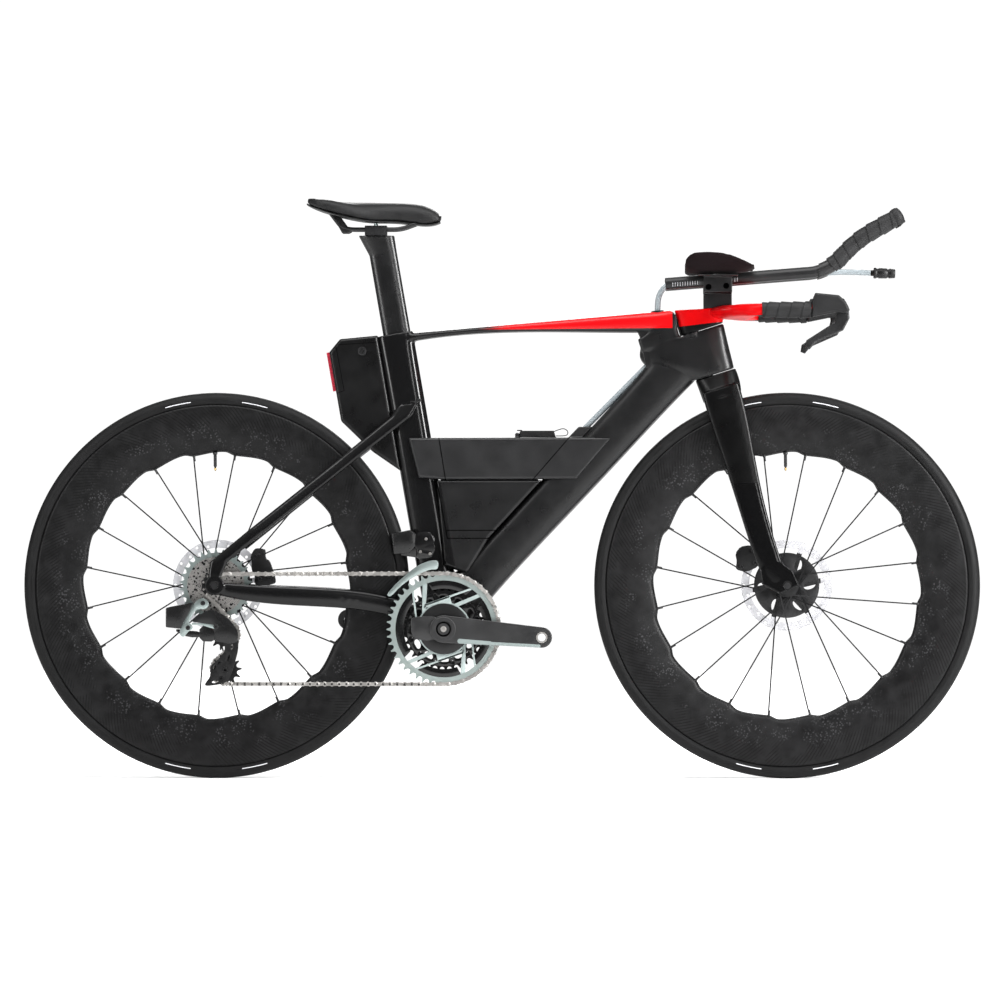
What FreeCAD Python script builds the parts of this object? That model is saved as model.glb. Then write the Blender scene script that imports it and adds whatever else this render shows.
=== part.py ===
import FreeCAD
import Part
import math
import os

# Time trial bicycle at full size, in millimetres.
# +X is forward, +Y is the rider's left and +Z is up. The origin is on the ground,
# midway between the two axles. The drive train is on the right, at -Y.

# Main geometry
WHEELBASE = 1003.0
TYRE_R = 339.0
CHAINSTAY_REACH = 400.9     # rear axle to bottom bracket, level
BB_DROP = 75.6              # bottom bracket below the axles
HEAD_ANGLE = 72.5
FORK_OFFSET = 28.0
SEAT_ANGLE = 80.2
BODY_GAP = 0.5              # between pieces that move past each other
FIT = 0.05                  # radial clearance of a running fit

# Wheels
RIM_FLANGE_R = 316.5
BEAD_SEAT_R = 311.0
RIM_W = 27.0
RIM_INNER_W = 22.0
RIM_DEPTH = 87.0
RIM_NOSE_W = 8.0
RIM_WALL = 2.5
RIM_NOSE_SOLID = 16.0       # solid depth at the spoke holes
SAWTOOTH = 5.0
SAWTOOTH_JUMP = 4.0         # degrees of each tooth's steep side
CASING = 2.4
BEAD_W = 3.0
SPOKE_COUNT = 20
SPOKE_W = 2.4
SPOKE_T = 1.0
SPOKE_BITE = 7.0            # length held in the rim
SPOKE_SWING = 62.0          # degrees between a spoke's two ends, seen from the side
FLANGE_R = 20.0
AXLE_R = 6.0
AXLE_COLLAR_R = 9.5
BEARING_R = 13.0
BEARING_W = 7.0
HUB_WALL = 2.5
HUB_WAIST_R = 15.5
FLANGE_T = 6.0
FRONT_OLD = 100.0           # between the fork ends
REAR_OLD = 142.0
FRONT_FLANGE_Y = 28.0
REAR_FLANGE_LEFT = 34.0
REAR_FLANGE_RIGHT = 16.0

# Disc brakes
ROTOR_R = 80.0
ROTOR_TRACK = 14.0
ROTOR_T = 1.8
ROTOR_ARMS = 6
ROTOR_ARM_W = 11.0
ROTOR_HUB_R = 24.0
ROTOR_SEAT_R = 17.5
ROTOR_HOLES = 24
ROTOR_HOLE_R = 2.6
FRONT_ROTOR_Y = 38.0
REAR_ROTOR_Y = 56.0
PAD_GAP = 0.6               # between a rotor and its caliper

# Drive train
PITCH = 12.7
RING_TEETH = 48
SMALL_RING_TEETH = 35
COGS = [10, 11, 12, 13, 14, 15, 17, 19, 21, 24, 27, 30]
PULLEY_TEETH = 12
COG_PITCH = 3.65
COG_T = 1.6
RING_T = 1.6
ROLLER_R = 3.85
SEAT_PLAY = 0.2             # tooth gap beyond the roller
TOOTH_RISE = 3.6            # tip above the pitch circle
TIP_W = 1.7
CHAIN_Y_REAR = -66.0
CHAIN_Y_FRONT = -45.0
SMALL_RING_Y = -38.0
CHAIN_INNER = 2.2           # between the inner plates
CHAIN_PLATE = 0.72
CHAIN_PLAY = 0.07
CHAIN_PLATE_R = 4.2
PIN_R = 1.75
PIN_PLAY = 0.12
FREEHUB_R = 14.0
BIG_RING_INNER_R = 85.0
SMALL_RING_INNER_R = 58.0
SPIDER_R = 44.0
SPIDER_T = 9.0
STRUT_W = 6.0
STRUT_OFFSET = 35.7
THIN_STRUT_W = 2.5
THIN_STRUT_OFFSET = 50.9
CRANK_LENGTH = 172.5
CRANK_DROP = 4.9            # degrees below level of the right arm
CRANK_OUTER_Y = 72.5
CRANK_T = 14.0
CRANK_HUB_R = 24.0
CRANK_END_R = 18.0
PEDAL_HOLE_R = 7.1
SPINDLE_R = 14.4
BB_SHELL_W = 72.0
BB_SHELL_R = 24.0
BB_BEARING_R = 20.0
BB_BEARING_W = 8.0

# Rear derailleur, from the rear axle
CAGE_PIVOT = (14.5, -82.0)
GUIDE_FROM_PIVOT = (3.0, -3.3)
PULLEY_SPACING = 62.0
CAGE_REST_ANGLE = -94.0     # tension pulley from the guide pulley, before it meets the chain length
CAGE_PLATE_R = 13.0
CAGE_PLATE_T = 2.0
CAGE_GAP = 11.0
PULLEY_BOLT_R = 2.6
PULLEY_T = 1.6

# Steering and fork, in the head frame
HEAD_BOTTOM = 383.0
HEAD_TOP = 464.5
STEERER_R = 14.3
HEADSET_R = 20.0
HEADSET_H = 7.0
CROWN_SWEEP_R = 19.5        # all that turns behind the steering axis stays in this radius
FORK_LEG_T = 15.0

# Frame
DOWN_TUBE_CHORD = 76.0
DOWN_TUBE_HALF_W = 26.0
SEAT_TUBE_REAR = -30.0
SEAT_TUBE_FRONT = 34.0
SEAT_TUBE_HALF_W = 20.0
SEAT_TUBE_TOP = 526.0
POST_REAR = -18.6
POST_FRONT = 30.0
POST_HALF_W = 11.0
POST_FIT = 0.1
POST_DEPTH = 150.0          # post inside the seat tube
POST_TRAVEL = 30.0
TANK_HALF_W = 16.0
BOX_HALF_W = 29.0
BOX_WALL = 2.0
STAY_HALF_T = 7.5

# Cockpit
STEM_TOP_Z = 824.5
STEM_HALF_W = 19.0
GRIP_Y = 200.0
GRIP_R = 11.0
TAPE_T = 2.2
WING_Z = 819.0
LEVER_W = 11.0
LEVER_SLOT_PLAY = 0.6
LEVER_PIN_R = 2.5
EXTENSION_Y = 52.0
EXTENSION_R = 10.5
EXTENSION_TAPE_R = 14.5
ARM_PAD_Y = 92.0
RISER_HALF_W = 16.0

# Saddle
RAIL_R = 3.5
RAIL_Y = 22.0

OVAL_POINTS = 20

AXLE_Z = TYRE_R
REAR_AXLE = (-WHEELBASE / 2, AXLE_Z)
FRONT_AXLE = (WHEELBASE / 2, AXLE_Z)
BB = (REAR_AXLE[0] + CHAINSTAY_REACH, AXLE_Z - BB_DROP)


def vec(x, y, z):
    return FreeCAD.Vector(x, y, z)


Y_AXIS = vec(0, 1, 0)


def head(up, forward):
    """Side-view point in the head frame: up the steering axis from axle height, and forward of it."""
    lean = math.radians(HEAD_ANGLE)
    foot = FRONT_AXLE[0] - FORK_OFFSET / math.sin(lean)
    x = foot - up * math.cos(lean) + forward * math.sin(lean)
    z = AXLE_Z + up * math.sin(lean) + forward * math.cos(lean)
    return (x, z)


def seat(up, forward):
    """Side-view point in the seat frame: up the seat tube from the bottom bracket, and forward."""
    lean = math.radians(SEAT_ANGLE)
    x = BB[0] - up * math.cos(lean) + forward * math.sin(lean)
    z = BB[1] + up * math.sin(lean) + forward * math.cos(lean)
    return (x, z)


def near(point, dx, dz):
    return (point[0] + dx, point[1] + dz)


def mix(start, end, share):
    return (start[0] + (end[0] - start[0]) * share, start[1] + (end[1] - start[1]) * share)


def turned(point, angle):
    """Point turned about its origin, in degrees, from +X towards +Z."""
    c = math.cos(math.radians(angle))
    s = math.sin(math.radians(angle))
    return (point[0] * c - point[1] * s, point[0] * s + point[1] * c)


def oval_on(middle, chord, breadth, squareness):
    """Closed oval about a middle point, with two half axes."""
    points = []
    for step in range(OVAL_POINTS):
        angle = 2 * math.pi * (step + 0.5) / OVAL_POINTS
        c, s = math.cos(angle), math.sin(angle)
        along = math.copysign(abs(c) ** (2 / squareness), c)
        across = math.copysign(abs(s) ** (2 / squareness), s)
        points.append(middle + chord * along + breadth * across)
    curve = Part.BSplineCurve()
    curve.interpolate(Points=points, PeriodicFlag=True)
    return Part.Wire(curve.toShape())


def oval(rear, front, half_width, y=0.0, squareness=2.4):
    """Closed oval across a tube, between two side-view points, with its half width along Y."""
    middle = vec((rear[0] + front[0]) / 2, y, (rear[1] + front[1]) / 2)
    chord = vec((front[0] - rear[0]) / 2, 0, (front[1] - rear[1]) / 2)
    return oval_on(middle, chord, Y_AXIS * half_width, squareness)


def loft(sections, ruled=False):
    return Part.makeLoft([oval(*section) for section in sections], True, ruled)


def outline(points):
    """Closed side-view wire through (x, z) points."""
    corners = [vec(x, 0, z) for x, z in points]
    return Part.makePolygon(corners + corners[:1])


def slab(points, y_low, y_high):
    """Plate with a side-view outline, between two Y planes."""
    face = Part.Face(outline(points))
    face.translate(Y_AXIS * y_low)
    return face.extrude(Y_AXIS * (y_high - y_low))


def disc(centre, radius, y_low, y_high):
    return Part.makeCylinder(radius, y_high - y_low, vec(centre[0], y_low, centre[1]), Y_AXIS)


def ring(centre, outer, inner, y_low, y_high):
    return disc(centre, outer, y_low, y_high).cut(disc(centre, inner, y_low, y_high))


def spun(centre, profile):
    """Solid of revolution about an axle, from (y, r) points."""
    corners = [vec(centre[0], y, centre[1] + r) for y, r in profile]
    face = Part.Face(Part.makePolygon(corners + corners[:1]))
    return face.revolve(vec(centre[0], 0, centre[1]), Y_AXIS, 360)


def rod(start, end, radius):
    return Part.makeCylinder(radius, (end - start).Length, start, end - start)


def rounded(solid, radius, picks=None):
    """Solid with its edges rounded: all of them, or those that picks says."""
    edges = [edge for edge in solid.Edges if picks is None or picks(edge)]
    return solid.makeFillet(radius, edges)


def runs_along_y(edge):
    ends = edge.Vertexes
    return len(ends) == 2 and abs(abs(ends[0].Y - ends[1].Y) - edge.Length) < 0.001


def rims_of_slab(edge):
    return not runs_along_y(edge)


def largest(shape):
    return max(shape.Solids, key=lambda solid: solid.Volume)


def bent_tube(spots, radius):
    """Tube of straight runs with tangent arcs, each as large as its runs allow."""
    edges = []
    last = spots[0]
    for before, corner, after in zip(spots, spots[1:], spots[2:]):
        way_in = (corner - before).normalize()
        way_out = (after - corner).normalize()
        half_turn = way_in.getAngle(way_out) / 2
        reach = 0.45 * min((corner - before).Length, (after - corner).Length)
        bend = reach / math.tan(half_turn)
        start, end = corner - way_in * reach, corner + way_out * reach
        inward = (way_out - way_in).normalize()
        middle = corner + inward * (bend / math.cos(half_turn) - bend)
        edges.append(Part.makeLine(last, start))
        edges.append(Part.Arc(start, middle, end).toShape())
        last = end
    edges.append(Part.makeLine(last, spots[-1]))
    path = Part.Wire(edges)
    mouth = Part.Wire(Part.makeCircle(radius, spots[0], spots[1] - spots[0]))
    return path.makePipeShell([mouth], True, False)


def mirrored(solid):
    return solid.mirror(vec(0, 0, 0), Y_AXIS)


def both_sides(solid):
    return [solid, mirrored(solid)]


def solids_of(shapes):
    found = []
    for shape in shapes:
        found += shape.Solids
    return found


def save(name, *shapes):
    """Write a node's solids to its own file, and say what it holds."""
    solids = solids_of(shapes)
    bad = [solid for solid in solids if not solid.isValid() or solid.Volume < 1]
    whole = solids[0] if len(solids) == 1 else Part.makeCompound(solids)
    whole.exportStep("parts/" + name + ".step")
    print(name, len(solids), "solids", round(sum(s.Volume for s in solids)), "mm3", "BAD" if bad else "")


os.makedirs("parts", exist_ok=True)


# Wheels

NOSE_R = RIM_FLANGE_R - RIM_DEPTH
SPOKE_PHASE = 10.0


def polar(centre, radius, angle):
    x, z = turned((radius, 0), angle)
    return (centre[0] + x, centre[1] + z)


def profile_wire(centre, steps):
    """Closed profile above an axle from (y, r) steps. A step of three pairs is an arc."""
    def at(pair):
        return vec(centre[0], pair[0], centre[1] + pair[1])
    edges = []
    for step in steps:
        if len(step) == 3:
            edges.append(Part.Arc(at(step[0]), at(step[1]), at(step[2])).toShape())
        else:
            edges.append(Part.makeLine(at(step[0]), at(step[1])))
    return Part.Wire(edges)


def turned_solid(centre, steps):
    face = Part.Face(profile_wire(centre, steps))
    return face.revolve(vec(centre[0], 0, centre[1]), Y_AXIS, 360)


def rim_belly(share):
    """Half width of the rim's side, bulging over the straight taper from flange to nose."""
    taper = RIM_W / 2 + (RIM_NOSE_W - RIM_W) / 2 * share
    return taper + RIM_W * 0.16 * 4 * share * (1 - share)


def rim(centre):
    half, inner, nose = RIM_W / 2, RIM_INNER_W / 2, RIM_NOSE_W / 2
    nose_r = NOSE_R + nose * 0.7
    middle_r = (RIM_FLANGE_R + nose_r) / 2
    belly = rim_belly(0.5)
    flange = (half, RIM_FLANGE_R)
    body = turned_solid(centre, [
        ((-half, RIM_FLANGE_R), (-inner, RIM_FLANGE_R)),
        ((-inner, RIM_FLANGE_R), (-inner, BEAD_SEAT_R)),
        ((-inner, BEAD_SEAT_R), (inner, BEAD_SEAT_R)),
        ((inner, BEAD_SEAT_R), (inner, RIM_FLANGE_R)),
        ((inner, RIM_FLANGE_R), flange),
        (flange, (belly, middle_r), (nose, nose_r)),
        ((nose, nose_r), (0, NOSE_R), (-nose, nose_r)),
        ((-nose, nose_r), (-belly, middle_r), (-half, RIM_FLANGE_R)),
    ])
    top = BEAD_SEAT_R - RIM_WALL
    foot = NOSE_R + RIM_NOSE_SOLID
    foot_w = rim_belly((RIM_FLANGE_R - foot) / RIM_DEPTH) - 1.4 * RIM_WALL
    cavity = spun(centre, [(-half + RIM_WALL, top), (half - RIM_WALL, top),
                           (belly - RIM_WALL, middle_r), (foot_w, foot),
                           (-foot_w, foot), (-belly + RIM_WALL, middle_r)])
    teeth = []
    low = NOSE_R + 0.7
    for index in range(SPOKE_COUNT):
        angle = SPOKE_PHASE + 360 / SPOKE_COUNT * index
        teeth.append(polar(centre, low, angle))
        teeth.append(polar(centre, low + SAWTOOTH, angle + SAWTOOTH_JUMP))
    return body.cut(cavity).cut(slab(teeth, -RIM_W, RIM_W))


def tyre(centre):
    bead = RIM_INNER_W / 2 - 0.2
    bead_in = bead - BEAD_W
    foot = BEAD_SEAT_R + 0.2
    shoulder = RIM_FLANGE_R + 0.3
    rise = TYRE_R - shoulder
    arc_r = (bead ** 2 + rise ** 2) / (2 * rise)
    inside = TYRE_R - arc_r - math.sqrt((arc_r - CASING) ** 2 - bead_in ** 2)
    return turned_solid(centre, [
        ((-bead, foot), (-bead, shoulder)),
        ((-bead, shoulder), (0, TYRE_R), (bead, shoulder)),
        ((bead, shoulder), (bead, foot)),
        ((bead, foot), (bead_in, foot)),
        ((bead_in, foot), (bead_in, inside)),
        ((bead_in, inside), (0, TYRE_R - CASING), (-bead_in, inside)),
        ((-bead_in, inside), (-bead_in, foot)),
        ((-bead_in, foot), (-bead, foot)),
    ])


def spokes(centre, flange_left, flange_right):
    """Bladed spokes, by turns from the left and the right flange, leading and trailing."""
    made = []
    for index in range(SPOKE_COUNT):
        angle = SPOKE_PHASE + 360 / SPOKE_COUNT * index
        side = 1 if index % 2 == 0 else -1
        lead = 1 if index % 4 < 2 else -1
        flange_y = flange_left if side > 0 else -flange_right
        start_y = flange_y + 1.5 * lead
        start = polar(centre, FLANGE_R - SPOKE_W, angle + SPOKE_SWING * lead)
        end = polar(centre, NOSE_R + SAWTOOTH + SPOKE_BITE, angle)
        foot = vec(start[0], start_y, start[1])
        run = vec(end[0], side * SPOKE_T, end[1]) - foot
        wide = Y_AXIS.cross(run).normalize() * (SPOKE_W / 2)
        thick = run.cross(wide).normalize() * (SPOKE_T / 2)
        corners = [foot + wide + thick, foot - wide + thick, foot - wide - thick, foot + wide - thick]
        made.append(Part.Face(Part.makePolygon(corners + corners[:1])).extrude(run))
    return made


def hub(centre, left_end, right_end, flange_left, flange_right, rotor_y):
    """Hub shell with two flanges, a rotor seat on the left and bearing seats at its ends."""
    seat_low = rotor_y - ROTOR_T / 2
    shell = [
        (-right_end, BEARING_R), (left_end, BEARING_R), (left_end, BEARING_R + HUB_WALL),
        (seat_low + ROTOR_T, BEARING_R + HUB_WALL), (seat_low + ROTOR_T, ROTOR_SEAT_R),
        (seat_low, ROTOR_SEAT_R), (seat_low, ROTOR_HUB_R - 3),
        (seat_low - 2, ROTOR_HUB_R - 3), (seat_low - 2, HUB_WAIST_R),
        (flange_left + FLANGE_T / 2, HUB_WAIST_R), (flange_left + FLANGE_T / 2, FLANGE_R),
        (flange_left - FLANGE_T / 2, FLANGE_R), (flange_left - FLANGE_T / 2, HUB_WAIST_R),
        (-flange_right + FLANGE_T / 2, HUB_WAIST_R), (-flange_right + FLANGE_T / 2, FLANGE_R),
        (-flange_right - FLANGE_T / 2, FLANGE_R), (-flange_right - FLANGE_T / 2, HUB_WAIST_R),
        (-right_end, HUB_WAIST_R),
    ]
    return spun(centre, shell)


def hub_bearings(centre, left_end, right_end):
    return [ring(centre, BEARING_R, AXLE_R + FIT, left_end - BEARING_W, left_end),
            ring(centre, BEARING_R, AXLE_R + FIT, -right_end, -right_end + BEARING_W)]


def rotor(centre, y):
    low, high = y - ROTOR_T / 2, y + ROTOR_T / 2
    track_in = ROTOR_R - ROTOR_TRACK
    body = ring(centre, ROTOR_R, track_in, low, high)
    body = body.fuse(ring(centre, ROTOR_HUB_R, ROTOR_SEAT_R, low, high))
    for index in range(ROTOR_ARMS):
        angle = 360 / ROTOR_ARMS * index
        corners = [(ROTOR_HUB_R - 2, -ROTOR_ARM_W / 2), (track_in + 2, ROTOR_ARM_W / 2),
                   (track_in + 2, ROTOR_ARM_W * 1.3), (ROTOR_HUB_R - 2, ROTOR_ARM_W / 2)]
        arm = [near(centre, *turned(corner, angle)) for corner in corners]
        body = body.fuse(slab(arm, low, high))
    holes = [disc(polar(centre, ROTOR_R - ROTOR_TRACK * (0.3 + 0.4 * (index % 2)),
                        360 / ROTOR_HOLES * index), ROTOR_HOLE_R, low, high)
             for index in range(ROTOR_HOLES)]
    return body.cut(Part.makeCompound(holes)).removeSplitter()


def axle(centre, old, reach):
    """Through axle with a collar inside each fork end."""
    collar = 3.0 - BODY_GAP
    return spun(centre, [(-reach, 0), (reach, 0), (reach, AXLE_R), (old / 2, AXLE_R),
                         (old / 2, AXLE_COLLAR_R), (old / 2 - collar, AXLE_COLLAR_R),
                         (old / 2 - collar, AXLE_R), (collar - old / 2, AXLE_R),
                         (collar - old / 2, AXLE_COLLAR_R), (-old / 2, AXLE_COLLAR_R),
                         (-old / 2, AXLE_R), (-reach, AXLE_R)])


HUB_INSET = 3.0             # hub end inside the fork end
FREEHUB_INNER = -24.0       # inner end of the freehub body
front_end = FRONT_OLD / 2 - HUB_INSET
rear_left_end = REAR_OLD / 2 - HUB_INSET
rear_right_end = -FREEHUB_INNER - BODY_GAP

for wheel, centre in (("front", FRONT_AXLE), ("rear", REAR_AXLE)):
    save(wheel + "_rim", rim(centre))
    save(wheel + "_tyre", tyre(centre))
save("front_spokes", *spokes(FRONT_AXLE, FRONT_FLANGE_Y, FRONT_FLANGE_Y))
save("rear_spokes", *spokes(REAR_AXLE, REAR_FLANGE_LEFT, REAR_FLANGE_RIGHT))
save("front_hub", hub(FRONT_AXLE, front_end, front_end, FRONT_FLANGE_Y, FRONT_FLANGE_Y, FRONT_ROTOR_Y),
     *hub_bearings(FRONT_AXLE, front_end, front_end))
save("rear_hub", hub(REAR_AXLE, rear_left_end, rear_right_end, REAR_FLANGE_LEFT,
                     REAR_FLANGE_RIGHT, REAR_ROTOR_Y),
     *hub_bearings(REAR_AXLE, rear_left_end, rear_right_end))
save("front_rotor", rotor(FRONT_AXLE, FRONT_ROTOR_Y))
save("rear_rotor", rotor(REAR_AXLE, REAR_ROTOR_Y))


# Drive train

SEAT_SPREAD = 75.0          # degrees of roller seat each side of a tooth gap's foot


def pitch_radius(teeth):
    return PITCH / (2 * math.sin(math.pi / teeth))


def toothed(centre, teeth, phase, thickness, y):
    """Sprocket blank with roller seats, one of them at the phase angle."""
    radius = pitch_radius(teeth)
    seat_r = ROLLER_R + SEAT_PLAY
    tip_half = math.degrees(TIP_W / 2 / radius)
    edges = []
    for index in range(teeth):
        angle = phase + 360 / teeth * index
        gap = polar(centre, radius, angle)
        feet = [polar(gap, seat_r, angle + 180 + spread) for spread in (SEAT_SPREAD, 0, -SEAT_SPREAD)]
        tooth = angle + 180 / teeth
        tips = [polar(centre, radius + TOOTH_RISE, tooth + turn) for turn in (-tip_half, tip_half)]
        following = angle + 360 / teeth
        landing = polar(polar(centre, radius, following), seat_r, following + 180 + SEAT_SPREAD)
        places = [vec(x, y - thickness / 2, z) for x, z in feet + tips + [landing]]
        edges.append(Part.Arc(places[0], places[1], places[2]).toShape())
        for start, end in zip(places[2:], places[3:]):
            edges.append(Part.makeLine(start, end))
    return Part.Face(Part.Wire(edges)).extrude(Y_AXIS * thickness)


def belt_line(first, second):
    """Touching points of the line from one circle to the next. A circle is (centre, radius, turn)."""
    (c1, r1, turn1), (c2, r2, turn2) = first, second
    span = (c2[0] - c1[0], c2[1] - c1[1])
    gap = math.hypot(*span)
    angle = math.atan2(span[1], span[0]) + math.asin((turn1 * r1 - turn2 * r2) / gap)
    side = (math.sin(angle), -math.cos(angle))
    return (near(c1, turn1 * r1 * side[0], turn1 * r1 * side[1]),
            near(c2, turn2 * r2 * side[0], turn2 * r2 * side[1]))


def bearing_of(point, centre):
    return math.degrees(math.atan2(point[1] - centre[1], point[0] - centre[0]))


guide_centre = near(near(REAR_AXLE, *CAGE_PIVOT), *GUIDE_FROM_PIVOT)


def chain_loop(cage_angle):
    """The chain's lines and arcs in running order, each with its length in links."""
    tension_centre = polar(guide_centre, PULLEY_SPACING, cage_angle)
    wheels = [(REAR_AXLE, COGS[0], -1), (BB, RING_TEETH, -1),
              (tension_centre, PULLEY_TEETH, -1), (guide_centre, PULLEY_TEETH, 1)]
    circles = [(centre, pitch_radius(teeth), turn) for centre, teeth, turn in wheels]
    lines = [belt_line(circles[i], circles[(i + 1) % 4]) for i in range(4)]
    pieces = []
    planes = [CHAIN_Y_REAR, CHAIN_Y_FRONT, CHAIN_Y_REAR, CHAIN_Y_REAR]
    for i in range(4):
        start, end = lines[i]
        run = math.dist(start, end)
        pieces.append(("line", run / PITCH, start, end, planes[i], planes[(i + 1) % 4]))
        centre, teeth, turn = wheels[(i + 1) % 4]
        enter = bearing_of(end, centre)
        leave = bearing_of(lines[(i + 1) % 4][0], centre)
        sweep = ((leave - enter) * turn) % 360
        pieces.append(("arc", sweep * teeth / 360, centre, teeth, enter, turn))
    return pieces


def links_in(cage_angle):
    return sum(piece[1] for piece in chain_loop(cage_angle))


def settled_cage():
    """Cage angle at which the chain is a whole even number of links."""
    count = 2 * round(links_in(CAGE_REST_ANGLE) / 2)
    low, high = CAGE_REST_ANGLE - 30, CAGE_REST_ANGLE + 30
    rising = links_in(high) > links_in(low)
    for _ in range(60):
        middle = (low + high) / 2
        if (links_in(middle) > count) == rising:
            high = middle
        else:
            low = middle
    return low, count


cage_angle, link_count = settled_cage()
tension_centre = polar(guide_centre, PULLEY_SPACING, cage_angle)
cage_pivot = near(REAR_AXLE, *CAGE_PIVOT)
loop = chain_loop(cage_angle)
print("chain links", link_count, "cage angle", cage_angle, "tension pulley", tension_centre)


def pin_place(count):
    """Place of a pin that many links along the chain, and the wheel it lies on, if any."""
    for piece in loop:
        if count < piece[1]:
            break
        count -= piece[1]
    if piece[0] == "line":
        share = count / piece[1]
        x, z = mix(piece[2], piece[3], share)
        eased = share * share * (3 - 2 * share)
        return vec(x, piece[4] + (piece[5] - piece[4]) * eased, z), None
    _, _, centre, teeth, enter, turn = piece
    x, z = polar(centre, pitch_radius(teeth), enter + turn * count * 360 / teeth)
    plane = CHAIN_Y_FRONT if centre == BB else CHAIN_Y_REAR
    return vec(x, plane, z), centre


def stadium(half_low, half_high):
    """Chain plate along X, one link long, between two Y planes."""
    low = vec(0, half_low, 0)
    deep = half_high - half_low
    bar = Part.makeBox(PITCH, deep, CHAIN_PLATE_R * 1.5, vec(0, half_low, -CHAIN_PLATE_R * 0.75))
    ends = [Part.makeCylinder(CHAIN_PLATE_R, deep, low + vec(x, 0, 0), Y_AXIS) for x in (0, PITCH)]
    return bar.fuse(ends).removeSplitter()


def chain():
    inner_half = CHAIN_INNER / 2
    inner_face = inner_half + CHAIN_PLATE
    outer_half = inner_face + CHAIN_PLAY
    outer_face = outer_half + CHAIN_PLATE
    inner_plates = [stadium(inner_half, inner_face), stadium(-inner_face, -inner_half)]
    outer_plates = [stadium(outer_half, outer_face), stadium(-outer_face, -outer_half)]
    ends = [(0, 0), (PITCH, 0)]
    rollers = [disc(end, ROLLER_R, -inner_half, inner_half) for end in ends]
    bores = [disc(end, PIN_R + PIN_PLAY, -inner_face, inner_face) for end in ends]
    pins = [disc(end, PIN_R, -outer_face, outer_face) for end in ends]
    inner_link = inner_plates[0].fuse(inner_plates[1:] + rollers).cut(Part.makeCompound(bores))
    outer_link = outer_plates[0].fuse(outer_plates[1:] + pins).removeSplitter()
    places = [pin_place(index)[0] for index in range(link_count)]
    made = []
    for index, start in enumerate(places):
        end = places[(index + 1) % link_count]
        along = (end - start).normalize()
        turn = FreeCAD.Rotation(along, Y_AXIS, along.cross(Y_AXIS), "XYZ")
        link = (outer_link if index % 2 else inner_link).copy()
        link.Placement = FreeCAD.Placement(start, turn)
        made.append(link)
    return made


def phase_on(centre):
    """Angle of a chain pin on a wheel, where the wheel has a tooth gap."""
    for index in range(link_count):
        place, wheel = pin_place(index)
        if wheel == centre:
            return bearing_of((place.x, place.z), centre)
    return 0.0


save("chain", *chain())

cassette = []
for index, teeth in enumerate(COGS):
    y = CHAIN_Y_REAR + COG_PITCH * index
    phase = phase_on(REAR_AXLE) if index == 0 else 0.0
    cassette.append(toothed(REAR_AXLE, teeth, phase, COG_T, y)
                    .cut(disc(REAR_AXLE, FREEHUB_R, y - COG_T, y + COG_T)))
save("cassette", *cassette)
FREEHUB_OUTER = CHAIN_Y_REAR - COG_T
save("freehub_body", ring(REAR_AXLE, FREEHUB_R, AXLE_R + FIT, FREEHUB_OUTER, FREEHUB_INNER))

STRUT_Y = (CHAIN_Y_FRONT + 1.0, CHAIN_Y_FRONT + 4.0)
SPIDER_Y = (CHAIN_Y_FRONT - SPIDER_T / 2, CHAIN_Y_FRONT + SPIDER_T / 2)
RING_BOLT_R = 4.0

big_ring = toothed(BB, RING_TEETH, phase_on(BB), RING_T, CHAIN_Y_FRONT)
big_ring = big_ring.fuse(disc(BB, BIG_RING_INNER_R + 3, CHAIN_Y_FRONT, STRUT_Y[1]))
big_ring = big_ring.cut(disc(BB, BIG_RING_INNER_R, *SPIDER_Y)).removeSplitter()
small_low = SMALL_RING_Y - RING_T / 2
small_ring = toothed(BB, SMALL_RING_TEETH, 0.0, RING_T, SMALL_RING_Y)
small_ring = small_ring.cut(disc(BB, SMALL_RING_INNER_R, small_low, small_low + RING_T))
save("chainrings", big_ring, small_ring)


def spider():
    """Power meter disc with a pinwheel of straight struts to the large ring and bosses to the small one."""
    body = disc(BB, SPIDER_R, *SPIDER_Y)
    bolt_circle = SMALL_RING_INNER_R + RING_BOLT_R + 2
    bolt_run = math.sqrt(bolt_circle ** 2 - STRUT_OFFSET ** 2)
    reach = BIG_RING_INNER_R
    parts = []
    for quarter in range(4):
        angle = 90 * quarter - CRANK_DROP
        for offset, width in ((STRUT_OFFSET, STRUT_W), (THIN_STRUT_OFFSET, THIN_STRUT_W)):
            corners = [(-STRUT_OFFSET, offset - width / 2), (reach, offset - width / 2),
                       (reach, offset + width / 2), (-STRUT_OFFSET, offset + width / 2)]
            bar = slab([near(BB, *turned(corner, angle)) for corner in corners], *STRUT_Y)
            parts.append(bar.common(disc(BB, reach, *STRUT_Y)))
        boss = near(BB, *turned((bolt_run, STRUT_OFFSET), angle))
        parts.append(disc(boss, RING_BOLT_R, STRUT_Y[0], small_low))
    body = body.fuse(parts).cut(disc(BB, SPINDLE_R, *SPIDER_Y))
    return body.removeSplitter()


save("power_meter_spider", spider())


def crank_arm(angle, inner_y, outer_y, foot_y):
    """Arm from the spindle to the pedal hole, with a boss in to foot_y."""
    low, high = min(inner_y, outer_y), max(inner_y, outer_y)
    end = near(BB, *turned((CRANK_LENGTH, 0), angle))
    edge = [(0, -CRANK_HUB_R), (CRANK_LENGTH, -CRANK_END_R), (CRANK_LENGTH, CRANK_END_R), (0, CRANK_HUB_R)]
    web = slab([near(BB, *turned(corner, angle)) for corner in edge], low, high)
    boss = disc(BB, CRANK_HUB_R - 3, min(inner_y, foot_y), max(inner_y, foot_y))
    body = web.fuse([disc(BB, CRANK_HUB_R, low, high), disc(end, CRANK_END_R, low, high), boss])
    bores = [disc(end, PEDAL_HOLE_R, low - 1, high + 1),
             disc(BB, SPINDLE_R, -CRANK_OUTER_Y + 3, CRANK_OUTER_Y - 3)]
    return body.cut(Part.makeCompound(bores)).removeSplitter()


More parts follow.
